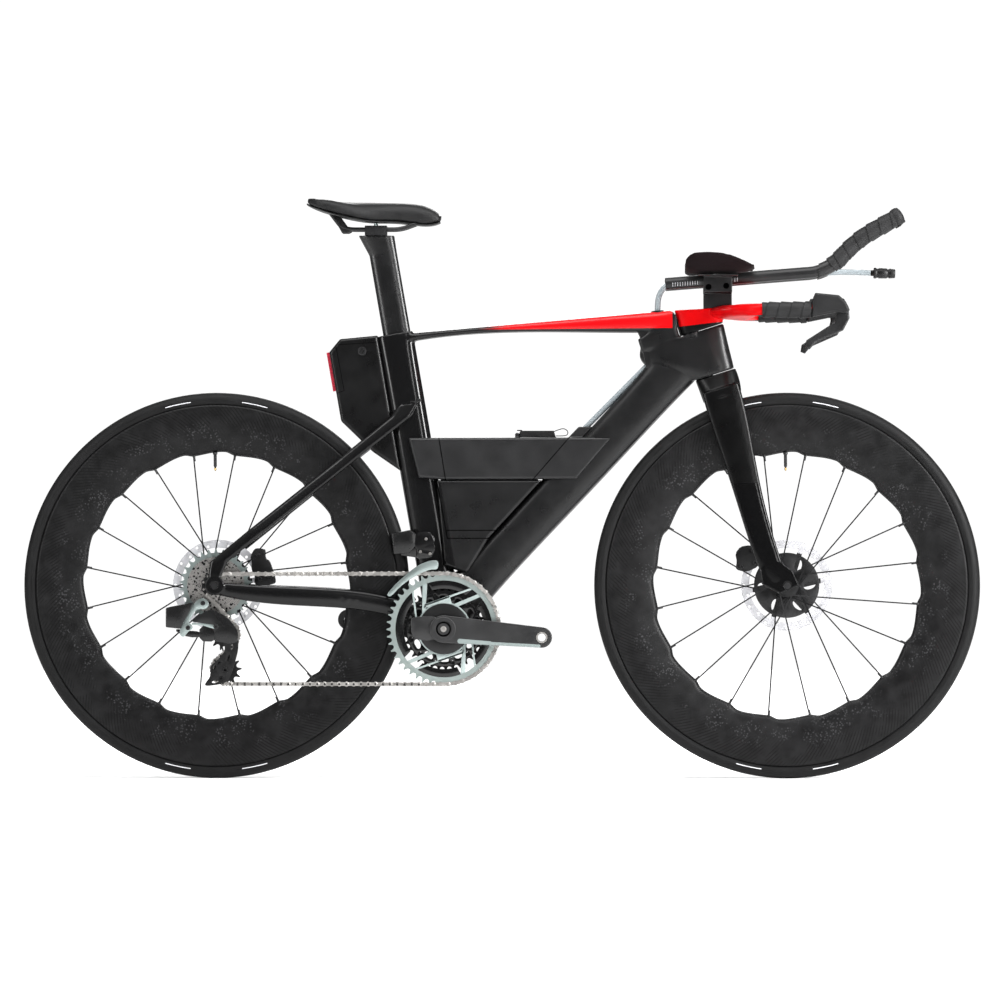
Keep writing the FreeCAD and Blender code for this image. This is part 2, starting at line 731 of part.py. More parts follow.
crank_inner = CRANK_OUTER_Y - CRANK_T
spindle = disc(BB, SPINDLE_R, -CRANK_OUTER_Y + 3, CRANK_OUTER_Y - 3)
right_arm = crank_arm(-CRANK_DROP, -crank_inner, -CRANK_OUTER_Y, SPIDER_Y[0])
save("crank_arm_right", right_arm, spindle)
save("crank_arm_left", crank_arm(180 - CRANK_DROP, crank_inner, CRANK_OUTER_Y, BB_SHELL_W / 2 + 2))
bearing_out = BB_SHELL_W / 2
crank_bearings = [ring(BB, BB_BEARING_R, SPINDLE_R + FIT, bearing_out - BB_BEARING_W, bearing_out),
                  ring(BB, BB_BEARING_R, SPINDLE_R + FIT, -bearing_out, -bearing_out + BB_BEARING_W)]


# Rear derailleur

CAGE_PIN_R = 6.0
CAGE_PIN_LENGTH = 11.0
KNUCKLE_R = 15.0
HANGER_Y = -REAR_OLD / 2 - 8.5
MECH_T = 13.0

for pulley, centre in (("guide_pulley", guide_centre), ("tension_pulley", tension_centre)):
    blank = toothed(centre, PULLEY_TEETH, phase_on(centre), PULLEY_T, CHAIN_Y_REAR)
    save(pulley, blank.cut(disc(centre, PULLEY_BOLT_R + FIT, CHAIN_Y_REAR - 5, CHAIN_Y_REAR + 5)))

cage_out = CHAIN_Y_REAR - CAGE_GAP / 2
cage_in = CHAIN_Y_REAR + CAGE_GAP / 2


def cage_plate(y_low, y_high):
    """Plate round both pulley bolts."""
    lean = bearing_of(tension_centre, guide_centre)
    side = turned((0, CAGE_PLATE_R), lean)
    corners = [near(guide_centre, *side), near(tension_centre, *side),
               near(tension_centre, -side[0], -side[1]), near(guide_centre, -side[0], -side[1])]
    ends = [disc(centre, CAGE_PLATE_R, y_low, y_high) for centre in (guide_centre, tension_centre)]
    return slab(corners, y_low, y_high).fuse(ends).removeSplitter()


cage = cage_plate(cage_out - CAGE_PLATE_T, cage_out).fuse([
    cage_plate(cage_in, cage_in + CAGE_PLATE_T),
    disc(guide_centre, PULLEY_BOLT_R, cage_out, cage_in),
    disc(tension_centre, PULLEY_BOLT_R, cage_out, cage_in),
    disc(cage_pivot, CAGE_PIN_R, cage_out - CAGE_PLATE_T - CAGE_PIN_LENGTH, cage_out)])
save("derailleur_cage", cage.removeSplitter())

knuckle_in = cage_out - CAGE_PLATE_T - BODY_GAP
b_pivot = near(REAR_AXLE, -18.5, -29)
link_foot = near(REAR_AXLE, -54, -82)
mech_out = HANGER_Y - MECH_T


def mech_link(start, end, half_w, y_low, y_high):
    """Rounded link between two pivots."""
    side = turned((0, half_w), bearing_of(end, start))
    corners = [near(start, *side), near(end, *side), near(end, -side[0], -side[1]),
               near(start, -side[0], -side[1])]
    ends = [disc(centre, half_w, y_low, y_high) for centre in (start, end)]
    return slab(corners, y_low, y_high).fuse(ends).removeSplitter()


knuckle = disc(cage_pivot, KNUCKLE_R, knuckle_in - MECH_T - 8, knuckle_in)
knuckle = knuckle.cut(disc(cage_pivot, CAGE_PIN_R + FIT, knuckle_in - CAGE_PIN_LENGTH - 1, knuckle_in))
mech = knuckle.fuse([mech_link(b_pivot, link_foot, 10, mech_out, HANGER_Y),
                     mech_link(link_foot, near(cage_pivot, -6, 14), 16, mech_out - 6, mech_out + 4)])
save("rear_derailleur_body", mech.removeSplitter())
rear_battery = slab([near(REAR_AXLE, -83, -62), near(REAR_AXLE, -52, -74), near(REAR_AXLE, -37, -40),
                     near(REAR_AXLE, -68, -28)], mech_out - 12, HANGER_Y - 2).cut(mech)


# Frame

BAR_SWEEP_R = CROWN_SWEEP_R + 2 * BODY_GAP + 1
STEER_DIR = vec(head(1, 0)[0] - head(0, 0)[0], 0, head(1, 0)[1] - head(0, 0)[1])


def on_steerer(up_low, up_high, radius):
    """Cylinder on the steering axis."""
    x, z = head(up_low, 0)
    return Part.makeCylinder(radius, up_high - up_low, vec(x, 0, z), STEER_DIR)


def head_tube_solid():
    low, high = HEAD_BOTTOM + BODY_GAP, HEAD_TOP - BODY_GAP
    return loft([(head(low, -24), head(low, 54), 23, 0, 2.6),
                 (head(low + 24, -58), head(low + 24, 55.5), 24, 0, 2.6),
                 (head(low + 48, -90), head(low + 48, 57), 22, 0, 2.6),
                 (head(high, -93), head(high, 59.5), 19, 0, 2.6)])


def seat_tube_solid():
    stations = [(0, 26), (120, SEAT_TUBE_HALF_W + 1), (340, SEAT_TUBE_HALF_W), (SEAT_TUBE_TOP, 16)]
    return loft([(seat(up, SEAT_TUBE_REAR), seat(up, SEAT_TUBE_FRONT), half, 0, 2.6)
                 for up, half in stations])


def top_tube_solid():
    start = seat(SEAT_TUBE_TOP - 3, SEAT_TUBE_FRONT - 14)
    end = head(HEAD_TOP + 47, -10)
    sections = []
    for share, height, half in ((0.0, 17, 14), (0.28, 12.5, 17), (0.7, 28, 19), (1.0, 40, 17)):
        top = mix(start, end, share)
        sections.append((near(top, 0, -height), top, half, 0, 3))
    return loft(sections)


DOWN_TUBE_FOOT = (58.8, 84.5)           # centre line above the bottom bracket


def down_tube_solid():
    start, end = head(HEAD_BOTTOM + 22, -60), near(BB, *DOWN_TUBE_FOOT)
    side = turned((0, DOWN_TUBE_CHORD / 2), bearing_of(end, start))
    sections = [(head(HEAD_BOTTOM + 1, -16), head(HEAD_BOTTOM + 57, -84), 21, 0, 2.6)]
    for share, half in ((0.2, DOWN_TUBE_HALF_W), (0.55, DOWN_TUBE_HALF_W), (0.95, DOWN_TUBE_HALF_W)):
        centre = mix(start, end, share)
        sections.append((near(centre, *side), near(centre, -side[0], -side[1]), half, 0, 3))
    sections.append((near(BB, 24, -24), near(BB, -30, 48), 30, 0, 3))
    return loft(sections)


DROPOUT_R = 17.0
DROPOUT_T = 8.5


def chain_stay_solid():
    """Left stay with its dropout."""
    inner = REAR_OLD / 2
    stay = loft([(near(REAR_AXLE, -15, -10), near(REAR_AXLE, -15, 8), 4, inner + 4.2, 2.4),
                 (near(REAR_AXLE, 60, -27), near(REAR_AXLE, 60, 2), 6, inner - 1, 2.6),
                 (near(REAR_AXLE, 129.5, -34), near(REAR_AXLE, 129.5, -1), STAY_HALF_T, 61, 2.6),
                 (near(REAR_AXLE, 311, -54), near(REAR_AXLE, 311, -21), STAY_HALF_T, 26, 2.6),
                 (near(BB, -10, -18), near(BB, -10, 16), STAY_HALF_T, 24, 2.6)])
    lug = disc(REAR_AXLE, DROPOUT_R, inner, inner + DROPOUT_T)
    return stay.fuse(lug)


def seat_stay_solid():
    inner = REAR_OLD / 2
    return loft([(near(REAR_AXLE, -12, 12), near(REAR_AXLE, 10, 12), 4, inner + 4.2, 2.4),
                 (near(REAR_AXLE, -8, 42), near(REAR_AXLE, 23, 42), 5, inner + 1, 2.6),
                 (near(REAR_AXLE, 59.6, 98), near(REAR_AXLE, 93, 98), 6, 64, 2.6),
                 (near(REAR_AXLE, 213.7, 221), near(REAR_AXLE, 247.1, 221), STAY_HALF_T, 33, 2.6),
                 (seat(383, -30), seat(377, 8), STAY_HALF_T, 19, 2.6),
                 (seat(412, -5), seat(405, 32), STAY_HALF_T, 11, 2.6)], ruled=True)


GUSSET_HALF_W = 17.5         # wedge between the head tube and the top tube

head_tube = head_tube_solid()
seat_tube = seat_tube_solid()
bb_shell = disc(BB, BB_SHELL_R, -BB_SHELL_W / 2, BB_SHELL_W / 2)
gusset = slab([head(HEAD_TOP - 8, -92), head(HEAD_TOP + 18, -92), head(HEAD_TOP + 42, -20),
               head(HEAD_TOP - 8, -20)], -GUSSET_HALF_W, GUSSET_HALF_W)
top_tube = largest(top_tube_solid().fuse(rounded(gusset, 6, rims_of_slab)).cut(Part.makeCompound(
    [head_tube, seat_tube, on_steerer(HEAD_TOP - 20, HEAD_TOP + 80, BAR_SWEEP_R)])).removeSplitter())
seat_tube = largest(seat_tube.cut(bb_shell))
down_tube = largest(down_tube_solid().cut(Part.makeCompound([head_tube, seat_tube, bb_shell])))
axle_room = disc(REAR_AXLE, AXLE_R, -REAR_OLD, REAR_OLD).fuse(
    disc(REAR_AXLE, AXLE_COLLAR_R, -REAR_OLD / 2, REAR_OLD / 2))
frame_core = Part.makeCompound([seat_tube, down_tube, bb_shell])
chain_stays = [largest(stay.cut(frame_core).cut(axle_room)) for stay in both_sides(chain_stay_solid())]
seat_stays = [largest(stay.cut(frame_core).cut(lower).cut(axle_room))
              for stay, lower in zip(both_sides(seat_stay_solid()), chain_stays)]

headset_seats = [on_steerer(HEAD_BOTTOM, HEAD_BOTTOM + BODY_GAP + HEADSET_H, HEADSET_R),
                 on_steerer(HEAD_TOP - BODY_GAP - HEADSET_H, HEAD_TOP, HEADSET_R),
                 on_steerer(HEAD_BOTTOM, HEAD_TOP, STEERER_R + 2)]
save("head_tube", head_tube.cut(Part.makeCompound(headset_seats)))
headset = [
    on_steerer(low, low + HEADSET_H, HEADSET_R).cut(on_steerer(low, low + HEADSET_H, STEERER_R + FIT))
    for low in (HEAD_BOTTOM + BODY_GAP, HEAD_TOP - BODY_GAP - HEADSET_H)]
save("frame_bearings", *headset, *crank_bearings)
save("top_tube", top_tube)
save("down_tube", down_tube)
save("chain_stays", *chain_stays)
save("seat_stays", *seat_stays)
save("rear_axle", axle(REAR_AXLE, REAR_OLD, REAR_OLD / 2 + DROPOUT_T))


# Seat post, in the seat frame

POST_TOP = 701.0
POST_NECK = 668.0
PLATE_REAR = -32.0
PLATE_FRONT = 31.0
PLATE_HALF_W = 14.0


def post_oval(up, play):
    return (seat(up, POST_REAR - play), seat(up, POST_FRONT + play), POST_HALF_W + play, 0, 2.3)


post_low = SEAT_TUBE_TOP - POST_DEPTH
post_bore = loft([post_oval(post_low - POST_TRAVEL - 2, POST_FIT), post_oval(SEAT_TUBE_TOP + 9, POST_FIT)])
shell_bore = disc(BB, BB_BEARING_R, -BB_SHELL_W, BB_SHELL_W)
save("seat_tube", seat_tube.fuse(bb_shell).cut(post_bore).cut(shell_bore).removeSplitter())
plate = seat(POST_TOP, 0)
post = loft([post_oval(post_low, 0), post_oval(POST_NECK, 0),
             (near(plate, PLATE_REAR, 0), near(plate, PLATE_FRONT, 0), PLATE_HALF_W, 0, 2.3)], True)
save("seatpost", post)

tank_outline = [seat(528, -28), seat(533, -94), seat(526, -102), seat(513, -117), seat(390, -117),
                seat(327, -71), seat(285, -28)]
tank = slab(tank_outline, -TANK_HALF_W, TANK_HALF_W)
tank = largest(rounded(tank, 6, rims_of_slab).cut(Part.makeCompound([seat_tube] + seat_stays)))
light = slab([seat(513, -122), seat(513, -113), seat(444, -113), seat(444, -122)], -6, 6)
save("rear_tank", tank)
save("rear_light", light.cut(tank))


# Hydration box and storage box, from the bottom bracket

def box_points(pairs):
    return [near(BB, dx, dz) for dx, dz in pairs]


frame_sides = Part.makeCompound([seat_tube, down_tube])
STORAGE_TOP = 260.8
LID_REAR = 128.0
LID_FRONT = 196.0
LID_Z = 335.6
LID_H = 12.0
LID_HALF_W = 17.0
FILL_HALF_W = 11.0
FILL_INSET = 8.0

LID_PIN_R = 2.0
lid_pin = near(BB, LID_REAR, LID_Z + BODY_GAP + 4)
lugs = []
for side in (-1, 1):
    y_low, y_high = sorted((side * (LID_HALF_W - 8), side * (LID_HALF_W - 2)))
    lugs.append(slab(box_points([(LID_REAR - 4, LID_Z - 3), (LID_REAR + 4, LID_Z - 3),
                                 (LID_REAR + 3, LID_Z + 8), (LID_REAR - 3, LID_Z + 8)]), y_low, y_high))
hinge_pin = disc(lid_pin, LID_PIN_R, -LID_HALF_W + 3, LID_HALF_W - 3)
hose_block = slab(box_points([(212, 330), (236, 354.6), (264, 354.6), (288, 330)]), -13, 13)
hydration = slab(box_points([(-63, 335), (296, 336), (233, 262.5), (-5, 261.6), (-45, 265)]),
                 -BOX_HALF_W, BOX_HALF_W)
hydration = rounded(hydration, 5, rims_of_slab).fuse(lugs + [hinge_pin, hose_block]).removeSplitter()
tank_room = slab(box_points([(14, 328), (208, 328), (155, 270), (14, 270)]),
                 BOX_WALL - BOX_HALF_W, BOX_HALF_W - BOX_WALL)
fill_hole = slab(box_points([(LID_REAR + FILL_INSET, 320), (LID_FRONT - FILL_INSET, 320),
                             (LID_FRONT - FILL_INSET, 340), (LID_REAR + FILL_INSET, 340)]),
                 -FILL_HALF_W, FILL_HALF_W)
hydration = hydration.cut(tank_room.fuse(fill_hole)).cut(frame_sides)
hydration = largest(hydration)
save("hydration_box", hydration)

storage = slab(box_points([(-14, STORAGE_TOP), (172, STORAGE_TOP), (78, 158.6), (40, 96), (0, 110)]),
               BOX_WALL - BOX_HALF_W, BOX_HALF_W - BOX_WALL)
storage = rounded(storage, 5, rims_of_slab)
storage = storage.cut(slab(box_points([(16, 250), (140, 250), (70, 176), (26, 176)]),
                           2 * BOX_WALL - BOX_HALF_W, BOX_HALF_W - 2 * BOX_WALL))
save("storage_box", largest(storage.cut(frame_sides)))

lid = slab(box_points([(LID_REAR, LID_Z + BODY_GAP), (LID_FRONT, LID_Z + BODY_GAP),
                       (LID_FRONT - 4, LID_Z + LID_H), (LID_REAR + 6, LID_Z + LID_H)]),
           -LID_HALF_W, LID_HALF_W)
lid = lid.fuse(disc(lid_pin, 4, -LID_HALF_W + 8, LID_HALF_W - 8)).cut(
    disc(lid_pin, LID_PIN_R + FIT, -LID_HALF_W, LID_HALF_W))
for side in (-1, 1):
    ear = sorted((side * (LID_HALF_W - 8 - BODY_GAP), side * LID_HALF_W))
    lid = lid.cut(disc(lid_pin, 5.5, *ear))
save("refill_lid", lid.removeSplitter())


# Fork, in the head frame

LEG_TOP = 345.0
STEERER_TOP = HEAD_TOP + 22


def fork_leg():
    """Left leg with its dropout round the axle."""
    inner = FRONT_OLD / 2
    leg = loft([(head(LEG_TOP + 12, -13), head(LEG_TOP + 12, 53), FORK_LEG_T / 2, 27, 2.4),
                (head(LEG_TOP - 30, -14), head(LEG_TOP - 30, 52), FORK_LEG_T / 2, 32, 2.4),
                (head(178, -12), head(178, 36.5), FORK_LEG_T / 2 - 1, 43, 2.4),
                (head(40, -10), head(40, 31), 5, inner + 4.5, 2.4),
                (head(4, -6), head(4, 32), 4.5, inner + 4.6, 2.4)])
    toe = slab([head(34, -8), head(34, 30), head(12, 44), head(-14, 47), head(-18, 11), head(6, -13)],
               inner, inner + 9)
    return leg.fuse(toe).cut(disc(FRONT_AXLE, AXLE_R, 0, FRONT_OLD))


crown_top = HEAD_BOTTOM - BODY_GAP
crown = loft([(head(crown_top, -17), head(crown_top, 56), 20, 0, 2.4),
              (head(crown_top - 20, -16), head(crown_top - 20, 57), 28, 0, 2.4),
              (head(LEG_TOP - 4, -15), head(LEG_TOP - 4, 54), 38, 0, 2.4)])
steerer = on_steerer(crown_top - 20, STEERER_TOP, STEERER_R)
fork = crown.fuse(both_sides(fork_leg()) + [steerer]).removeSplitter()
save("fork", fork)
save("front_axle", axle(FRONT_AXLE, FRONT_OLD, FRONT_OLD / 2 + 9))


def caliper(corners, axle_spot, rotor_y, half_w, neighbours):
    """Brake caliper body, slotted for its rotor."""
    slot = ROTOR_T / 2 + PAD_GAP
    body = rounded(slab(corners, rotor_y - half_w, rotor_y + half_w), 3, rims_of_slab)
    mouth = slab(corners, rotor_y - slot, rotor_y + slot)
    bridge = [mix(corners[0], corners[3], share) for share in (0.72, 1)]
    top = [mix(corners[1], corners[2], share) for share in (0.72, 1)]
    mouth = mouth.cut(slab([bridge[0], top[0], top[1], bridge[1]], rotor_y - slot, rotor_y + slot))
    sweep = disc(axle_spot, ROTOR_R + BODY_GAP, rotor_y - slot, rotor_y + slot)
    return largest(body.cut(mouth).cut(sweep).cut(Part.makeCompound(neighbours)))


save("front_brake_caliper", caliper([near(FRONT_AXLE, -45, 30), near(FRONT_AXLE, -58, 72),
                                     near(FRONT_AXLE, -92, 62), near(FRONT_AXLE, -84, 22)],
                                    FRONT_AXLE, FRONT_ROTOR_Y, 12, [fork]))
save("rear_brake_caliper", caliper([near(REAR_AXLE, 56, -4), near(REAR_AXLE, 62, 48),
                                    near(REAR_AXLE, 100, 66), near(REAR_AXLE, 102, -4)],
                                   REAR_AXLE, REAR_ROTOR_Y, 11, chain_stays + seat_stays))


# Cockpit, from the top of the head tube

BAR_FOOT = head(HEAD_TOP, 0)


def at_bar(dx, dz):
    return near(BAR_FOOT, dx, dz)


def wing_oval(x_rear, x_front, y, dz, half_t):
    x, z = at_bar((x_rear + x_front) / 2, dz)
    return oval_on(vec(x, y, z), vec((x_front - x_rear) / 2, 0, 0), vec(0, 0, half_t), 2.2)


WING_DZ = WING_Z - 782.0
GRIP_START = 120.0
GRIP_END = 208.6


def grip_oval(dx, radius, y=GRIP_Y):
    x, z = at_bar(dx, WING_DZ)
    return oval_on(vec(x, y, z), vec(0, -radius, 0), vec(0, 0, radius), 2)


def half_wing():
    """Left half of the base bar, swept forward into its grip."""
    elbow_x, elbow_z = at_bar(106, WING_DZ)
    corner = vec(0.5, -0.5, 0) * (math.sqrt(2) * 15)
    elbow = oval_on(vec(elbow_x, GRIP_Y - 11, elbow_z), corner, vec(0, 0, 11), 2.1)
    span = Part.makeLoft([wing_oval(32, 108, 0, WING_DZ, 12), wing_oval(54, 110, 90, WING_DZ, 11.5),
                          wing_oval(72, 110, GRIP_Y - 38, WING_DZ, 11), elbow,
                          grip_oval(GRIP_START, GRIP_R)], True, False)
    grip = Part.makeLoft([grip_oval(GRIP_START, GRIP_R), grip_oval(GRIP_END + 8, GRIP_R)], True, False)
    return span.fuse(grip)


stem_low = HEAD_TOP + BODY_GAP
stem = loft([(head(stem_low, -16.5), head(stem_low, 59), STEM_HALF_W, 0, 2.6),
             (head(stem_low + 22, -16.5), head(stem_low + 20, 70), STEM_HALF_W, 0, 2.6),
             (head(stem_low + 47, -15), at_bar(72, STEM_TOP_Z - 779), STEM_HALF_W, 0, 3)])
base_bar = stem.fuse(both_sides(half_wing())).removeSplitter()
steerer_bore = on_steerer(HEAD_TOP - 5, STEERER_TOP, STEERER_R)
save("base_bar", base_bar.cut(steerer_bore))

tape_tube = Part.makeLoft([grip_oval(GRIP_START + 2, GRIP_R + TAPE_T),
                           grip_oval(GRIP_END - BODY_GAP, GRIP_R + TAPE_T + 1)], True, False)
save("base_bar_tape", *both_sides(tape_tube.cut(base_bar)))

HOOD_HALF_W = 16.0
LEVER_PIVOT = (258.6, 50.0)
lever_pin = at_bar(*LEVER_PIVOT)
hood = slab([at_bar(dx, dz) for dx, dz in ((208.6, 24), (208.6, 53), (214, 66), (255, 62), (267, 51),
                                           (274, 36), (268, 30), (248, 32))],
            GRIP_Y - HOOD_HALF_W, GRIP_Y + HOOD_HALF_W)
hood = rounded(hood, 4, rims_of_slab)
slot_half = LEVER_W / 2 + LEVER_SLOT_PLAY
lever_slot = slab([at_bar(dx, dz) for dx, dz in ((237, 20), (290, 20), (290, 61), (250, 61), (237, 50))],
                  GRIP_Y - slot_half, GRIP_Y + slot_half)
hood = hood.cut(lever_slot).fuse(disc(lever_pin, LEVER_PIN_R, GRIP_Y - HOOD_HALF_W + 3,
                                      GRIP_Y + HOOD_HALF_W - 3))
save("brake_hoods", *both_sides(largest(hood.cut(base_bar).removeSplitter())))

lever = slab([at_bar(dx, dz) for dx, dz in ((251, 50), (256, 58), (264, 56), (272, 42), (273.6, 22),
                                            (262.6, 1), (214.6, -20), (204.6, -32), (196.6, -29),
                                            (198.6, -16), (234.6, 7), (247.6, 15), (250.2, 27), (249, 36))],
             GRIP_Y - LEVER_W / 2, GRIP_Y + LEVER_W / 2)
lever = rounded(lever, 3, rims_of_slab).cut(disc(lever_pin, LEVER_PIN_R + FIT, 0, 2 * GRIP_Y))
save("brake_lever_left", lever)
save("brake_lever_right", mirrored(lever))


# Extension bars and arm rests

EXTENSION_ROUTE = [(-45, 86), (240, 108), (291, 164), (367.6, 207)]
EXTENSION_TAPE_START = 222.0


def extension(radius):
    """Bar along the extension's route."""
    spots = [at_bar(dx, dz) for dx, dz in EXTENSION_ROUTE]
    return bent_tube([vec(x, EXTENSION_Y, z) for x, z in spots], radius)


BUTTON_R = 5.0
BUTTON_H = 4.0
BUTTON_TRAVEL = 1.0
BUTTON_BACK = 10.0          # button centre behind the bar's tip
bar = extension(EXTENSION_R)
tape_x, tape_z = at_bar(EXTENSION_TAPE_START, 0)
bare_stretch = Part.makeBox(2 * WHEELBASE, 4 * EXTENSION_Y, WHEELBASE,
                            vec(tape_x - 2 * WHEELBASE, -EXTENSION_Y, tape_z - WHEELBASE / 2))
bar_tape = largest(extension(EXTENSION_TAPE_R).cut(bare_stretch).cut(bar))
tip = at_bar(*EXTENSION_ROUTE[-1])
tip_slope = bearing_of(tip, at_bar(*EXTENSION_ROUTE[-2]))
press = turned((0, -1), tip_slope)
button_axis = vec(press[0], 0, press[1])
button_foot = near(tip, *turned((-BUTTON_BACK, 0), tip_slope))
button_mid = vec(button_foot[0], EXTENSION_Y, button_foot[1])
button_low = EXTENSION_R + BUTTON_TRAVEL + BODY_GAP
pocket = Part.makeCylinder(BUTTON_R + 0.3, 2 * EXTENSION_TAPE_R, button_mid, button_axis)
button = Part.makeCylinder(BUTTON_R, BUTTON_H, button_mid + button_axis * button_low, button_axis)
save("extension_bars", *both_sides(bar))
save("extension_tape", *both_sides(largest(bar_tape.cut(pocket))))
save("shift_button_left", button)
save("shift_button_right", mirrored(button))

RISER_X = (22.0, 72.0)
RISER_TOP = 71.0
BRIDGE_H = 11.0
CLAMP_HALF_W = 16.0
CLAMP_TOP = 99.0
riser = slab([at_bar(RISER_X[0], 30), at_bar(RISER_X[1], 30), at_bar(RISER_X[1], RISER_TOP),
              at_bar(RISER_X[0], RISER_TOP)], -RISER_HALF_W, RISER_HALF_W)
riser = largest(riser.cut(base_bar))
bridge_half = EXTENSION_Y + CLAMP_HALF_W
bridge = slab([at_bar(RISER_X[0], RISER_TOP), at_bar(RISER_X[1], RISER_TOP),
               at_bar(RISER_X[1], RISER_TOP + BRIDGE_H), at_bar(RISER_X[0], RISER_TOP + BRIDGE_H)],
              -bridge_half, bridge_half)
clamp = slab([at_bar(RISER_X[0], RISER_TOP), at_bar(RISER_X[1], RISER_TOP),
              at_bar(RISER_X[1], CLAMP_TOP), at_bar(RISER_X[0], CLAMP_TOP)],
             EXTENSION_Y - CLAMP_HALF_W, EXTENSION_Y + CLAMP_HALF_W)
PAD_PLATE_Z = CLAMP_TOP + 2.0
pad_plate = slab([at_bar(RISER_X[0] - 10, CLAMP_TOP), at_bar(RISER_X[1] + 10, CLAMP_TOP),
                  at_bar(RISER_X[1] + 10, PAD_PLATE_Z), at_bar(RISER_X[0] - 10, PAD_PLATE_Z)],
                 EXTENSION_Y - 10, ARM_PAD_Y + 26)
bracket = bridge.fuse(both_sides(clamp) + both_sides(pad_plate)).cut(
    Part.makeCompound(both_sides(bar))).removeSplitter()
save("arm_rest_mount", riser, largest(bracket))


def pad_section(dx, half_w, low, edge, thick):
    """Cupped cushion section across Y: its outer and inner curves, and two rounded lips."""
    x, base = at_bar(dx, 0)
    sag = edge - low
    outer = [vec(x, ARM_PAD_Y - half_w, base + edge), vec(x, ARM_PAD_Y, base + low),
             vec(x, ARM_PAD_Y + half_w, base + edge)]
    inner_w = half_w - thick
    inner_low = low + thick
    inner_edge = inner_low + (sag - thick) * 0.75
    inner = [vec(x, ARM_PAD_Y + inner_w, base + inner_edge), vec(x, ARM_PAD_Y, base + inner_low),
             vec(x, ARM_PAD_Y - inner_w, base + inner_edge)]
    lift = vec(0, 0, thick * 0.35)
    edges = [Part.Arc(*outer).toShape(),
             Part.Arc(outer[2], (outer[2] + inner[0]) * 0.5 + lift, inner[0]).toShape(),
             Part.Arc(*inner).toShape(),
             Part.Arc(inner[2], (inner[2] + outer[0]) * 0.5 + lift, outer[0]).toShape()]
    return Part.Wire(edges)


pad_low = PAD_PLATE_Z + 0.3
PAD_STATIONS = [(-12, 38, 6, 24, 7), (2, 47, 0.6, 37, 10), (30, 50, 0, 40, 11), (62, 49, 0.2, 36, 11),
                (95, 42, 3, 24, 8), (114, 30, 8, 16, 5)]
pad = Part.makeLoft([pad_section(dx, half, pad_low + low, pad_low + edge, thick)
                     for dx, half, low, edge, thick in PAD_STATIONS], True, False)
save("arm_pads", *both_sides(pad))


# Saddle, from the top plate of the seat post

RAIL_DZ = 10.6
CLAMP_X = (-20.0, 18.0)
CLAMP_H = 17.0
SHELL_T = 4.0
SADDLE_STATIONS = [(-122, 34, 57, 66), (-100, 60, 47, 61.5), (-55, 62, 34, 58.5), (-5, 42, 26, 57.5),
                   (45, 30, 24, 56.5), (88, 27, 20, 51), (112, 19, 25, 40)]


def at_plate(dx, dz):
    return near(plate, dx, dz)


def cushion_section(dx, half_w, low, high):
    """Crowned section across Y with drawn-in sides: a flat foot and three arcs."""
    x, base = at_plate(dx, 0)
    rise = high - low
    foot, shoulder = half_w * 0.88, half_w * 0.72
    spots = [vec(x, -foot, base + low), vec(x, foot, base + low), vec(x, half_w, base + low + rise * 0.45),
             vec(x, shoulder, base + low + rise * 0.86), vec(x, 0, base + high),
             vec(x, -shoulder, base + low + rise * 0.86), vec(x, -half_w, base + low + rise * 0.45)]
    edges = [Part.makeLine(spots[0], spots[1]), Part.Arc(spots[1], spots[2], spots[3]).toShape(),
             Part.Arc(spots[3], spots[4], spots[5]).toShape(),
             Part.Arc(spots[5], spots[6], spots[0]).toShape()]
    return Part.Wire(edges)


def shell_section(dx, half_w, low):
    x, z = at_plate(dx, low - SHELL_T / 2)
    return oval_on(vec(x, 0, z), vec(0, half_w * 0.86, 0), vec(0, 0, SHELL_T / 2 - 0.1), 4)


pad_form = Part.makeLoft([cushion_section(*station) for station in SADDLE_STATIONS], True, False)
shell_form = Part.makeLoft([shell_section(*station[:3]) for station in SADDLE_STATIONS], True, False)
save("saddle_pad", pad_form.cut(shell_form))
save("saddle_shell", shell_form)

RAIL_ROUTE = [(-80, 38), (-62, RAIL_DZ + 4), (-45, RAIL_DZ), (43, RAIL_DZ), (70, 20.5)]
rail_spots = [vec(at_plate(dx, 0)[0], RAIL_Y, at_plate(0, dz)[1]) for dx, dz in RAIL_ROUTE]
left_rail = bent_tube(rail_spots, RAIL_R)
left_rail = largest(left_rail.cut(shell_form).cut(pad_form))
save("saddle_rails", *both_sides(left_rail))
clamp_block = slab([at_plate(CLAMP_X[0], 0), at_plate(CLAMP_X[1], 0), at_plate(CLAMP_X[1], CLAMP_H),
                    at_plate(CLAMP_X[0], CLAMP_H)], -RAIL_Y - 6, RAIL_Y + 6)
save("saddle_clamp", largest(clamp_block.cut(Part.makeCompound(both_sides(left_rail)))))


# Front derailleur, from the bottom bracket

FD_PLATE_T = 1.2
FD_IN = CHAIN_Y_FRONT + 4.6
FD_OUT = CHAIN_Y_FRONT - 5.8
FD_BAND = (99.0, 119.0)
FD_ARC = (89.0, 150.0)
FD_PIN_R = 2.0
FD_TRIM = 1.0               # sideways trim each way
FD_BODY_Y = FD_IN + FD_PLATE_T + FD_TRIM + BODY_GAP


def band(inner, outer, start, end, y_low, y_high):
    """Curved strip about the bottom bracket."""
    def at(radius, angle):
        x, z = polar(BB, radius, angle)
        return vec(x, y_low, z)
    middle = (start + end) / 2
    edges = [Part.Arc(at(outer, start), at(outer, middle), at(outer, end)).toShape(),
             Part.makeLine(at(outer, end), at(inner, end)),
             Part.Arc(at(inner, end), at(inner, middle), at(inner, start)).toShape(),
             Part.makeLine(at(inner, start), at(outer, start))]
    return Part.Face(Part.Wire(edges)).extrude(Y_AXIS * (y_high - y_low))


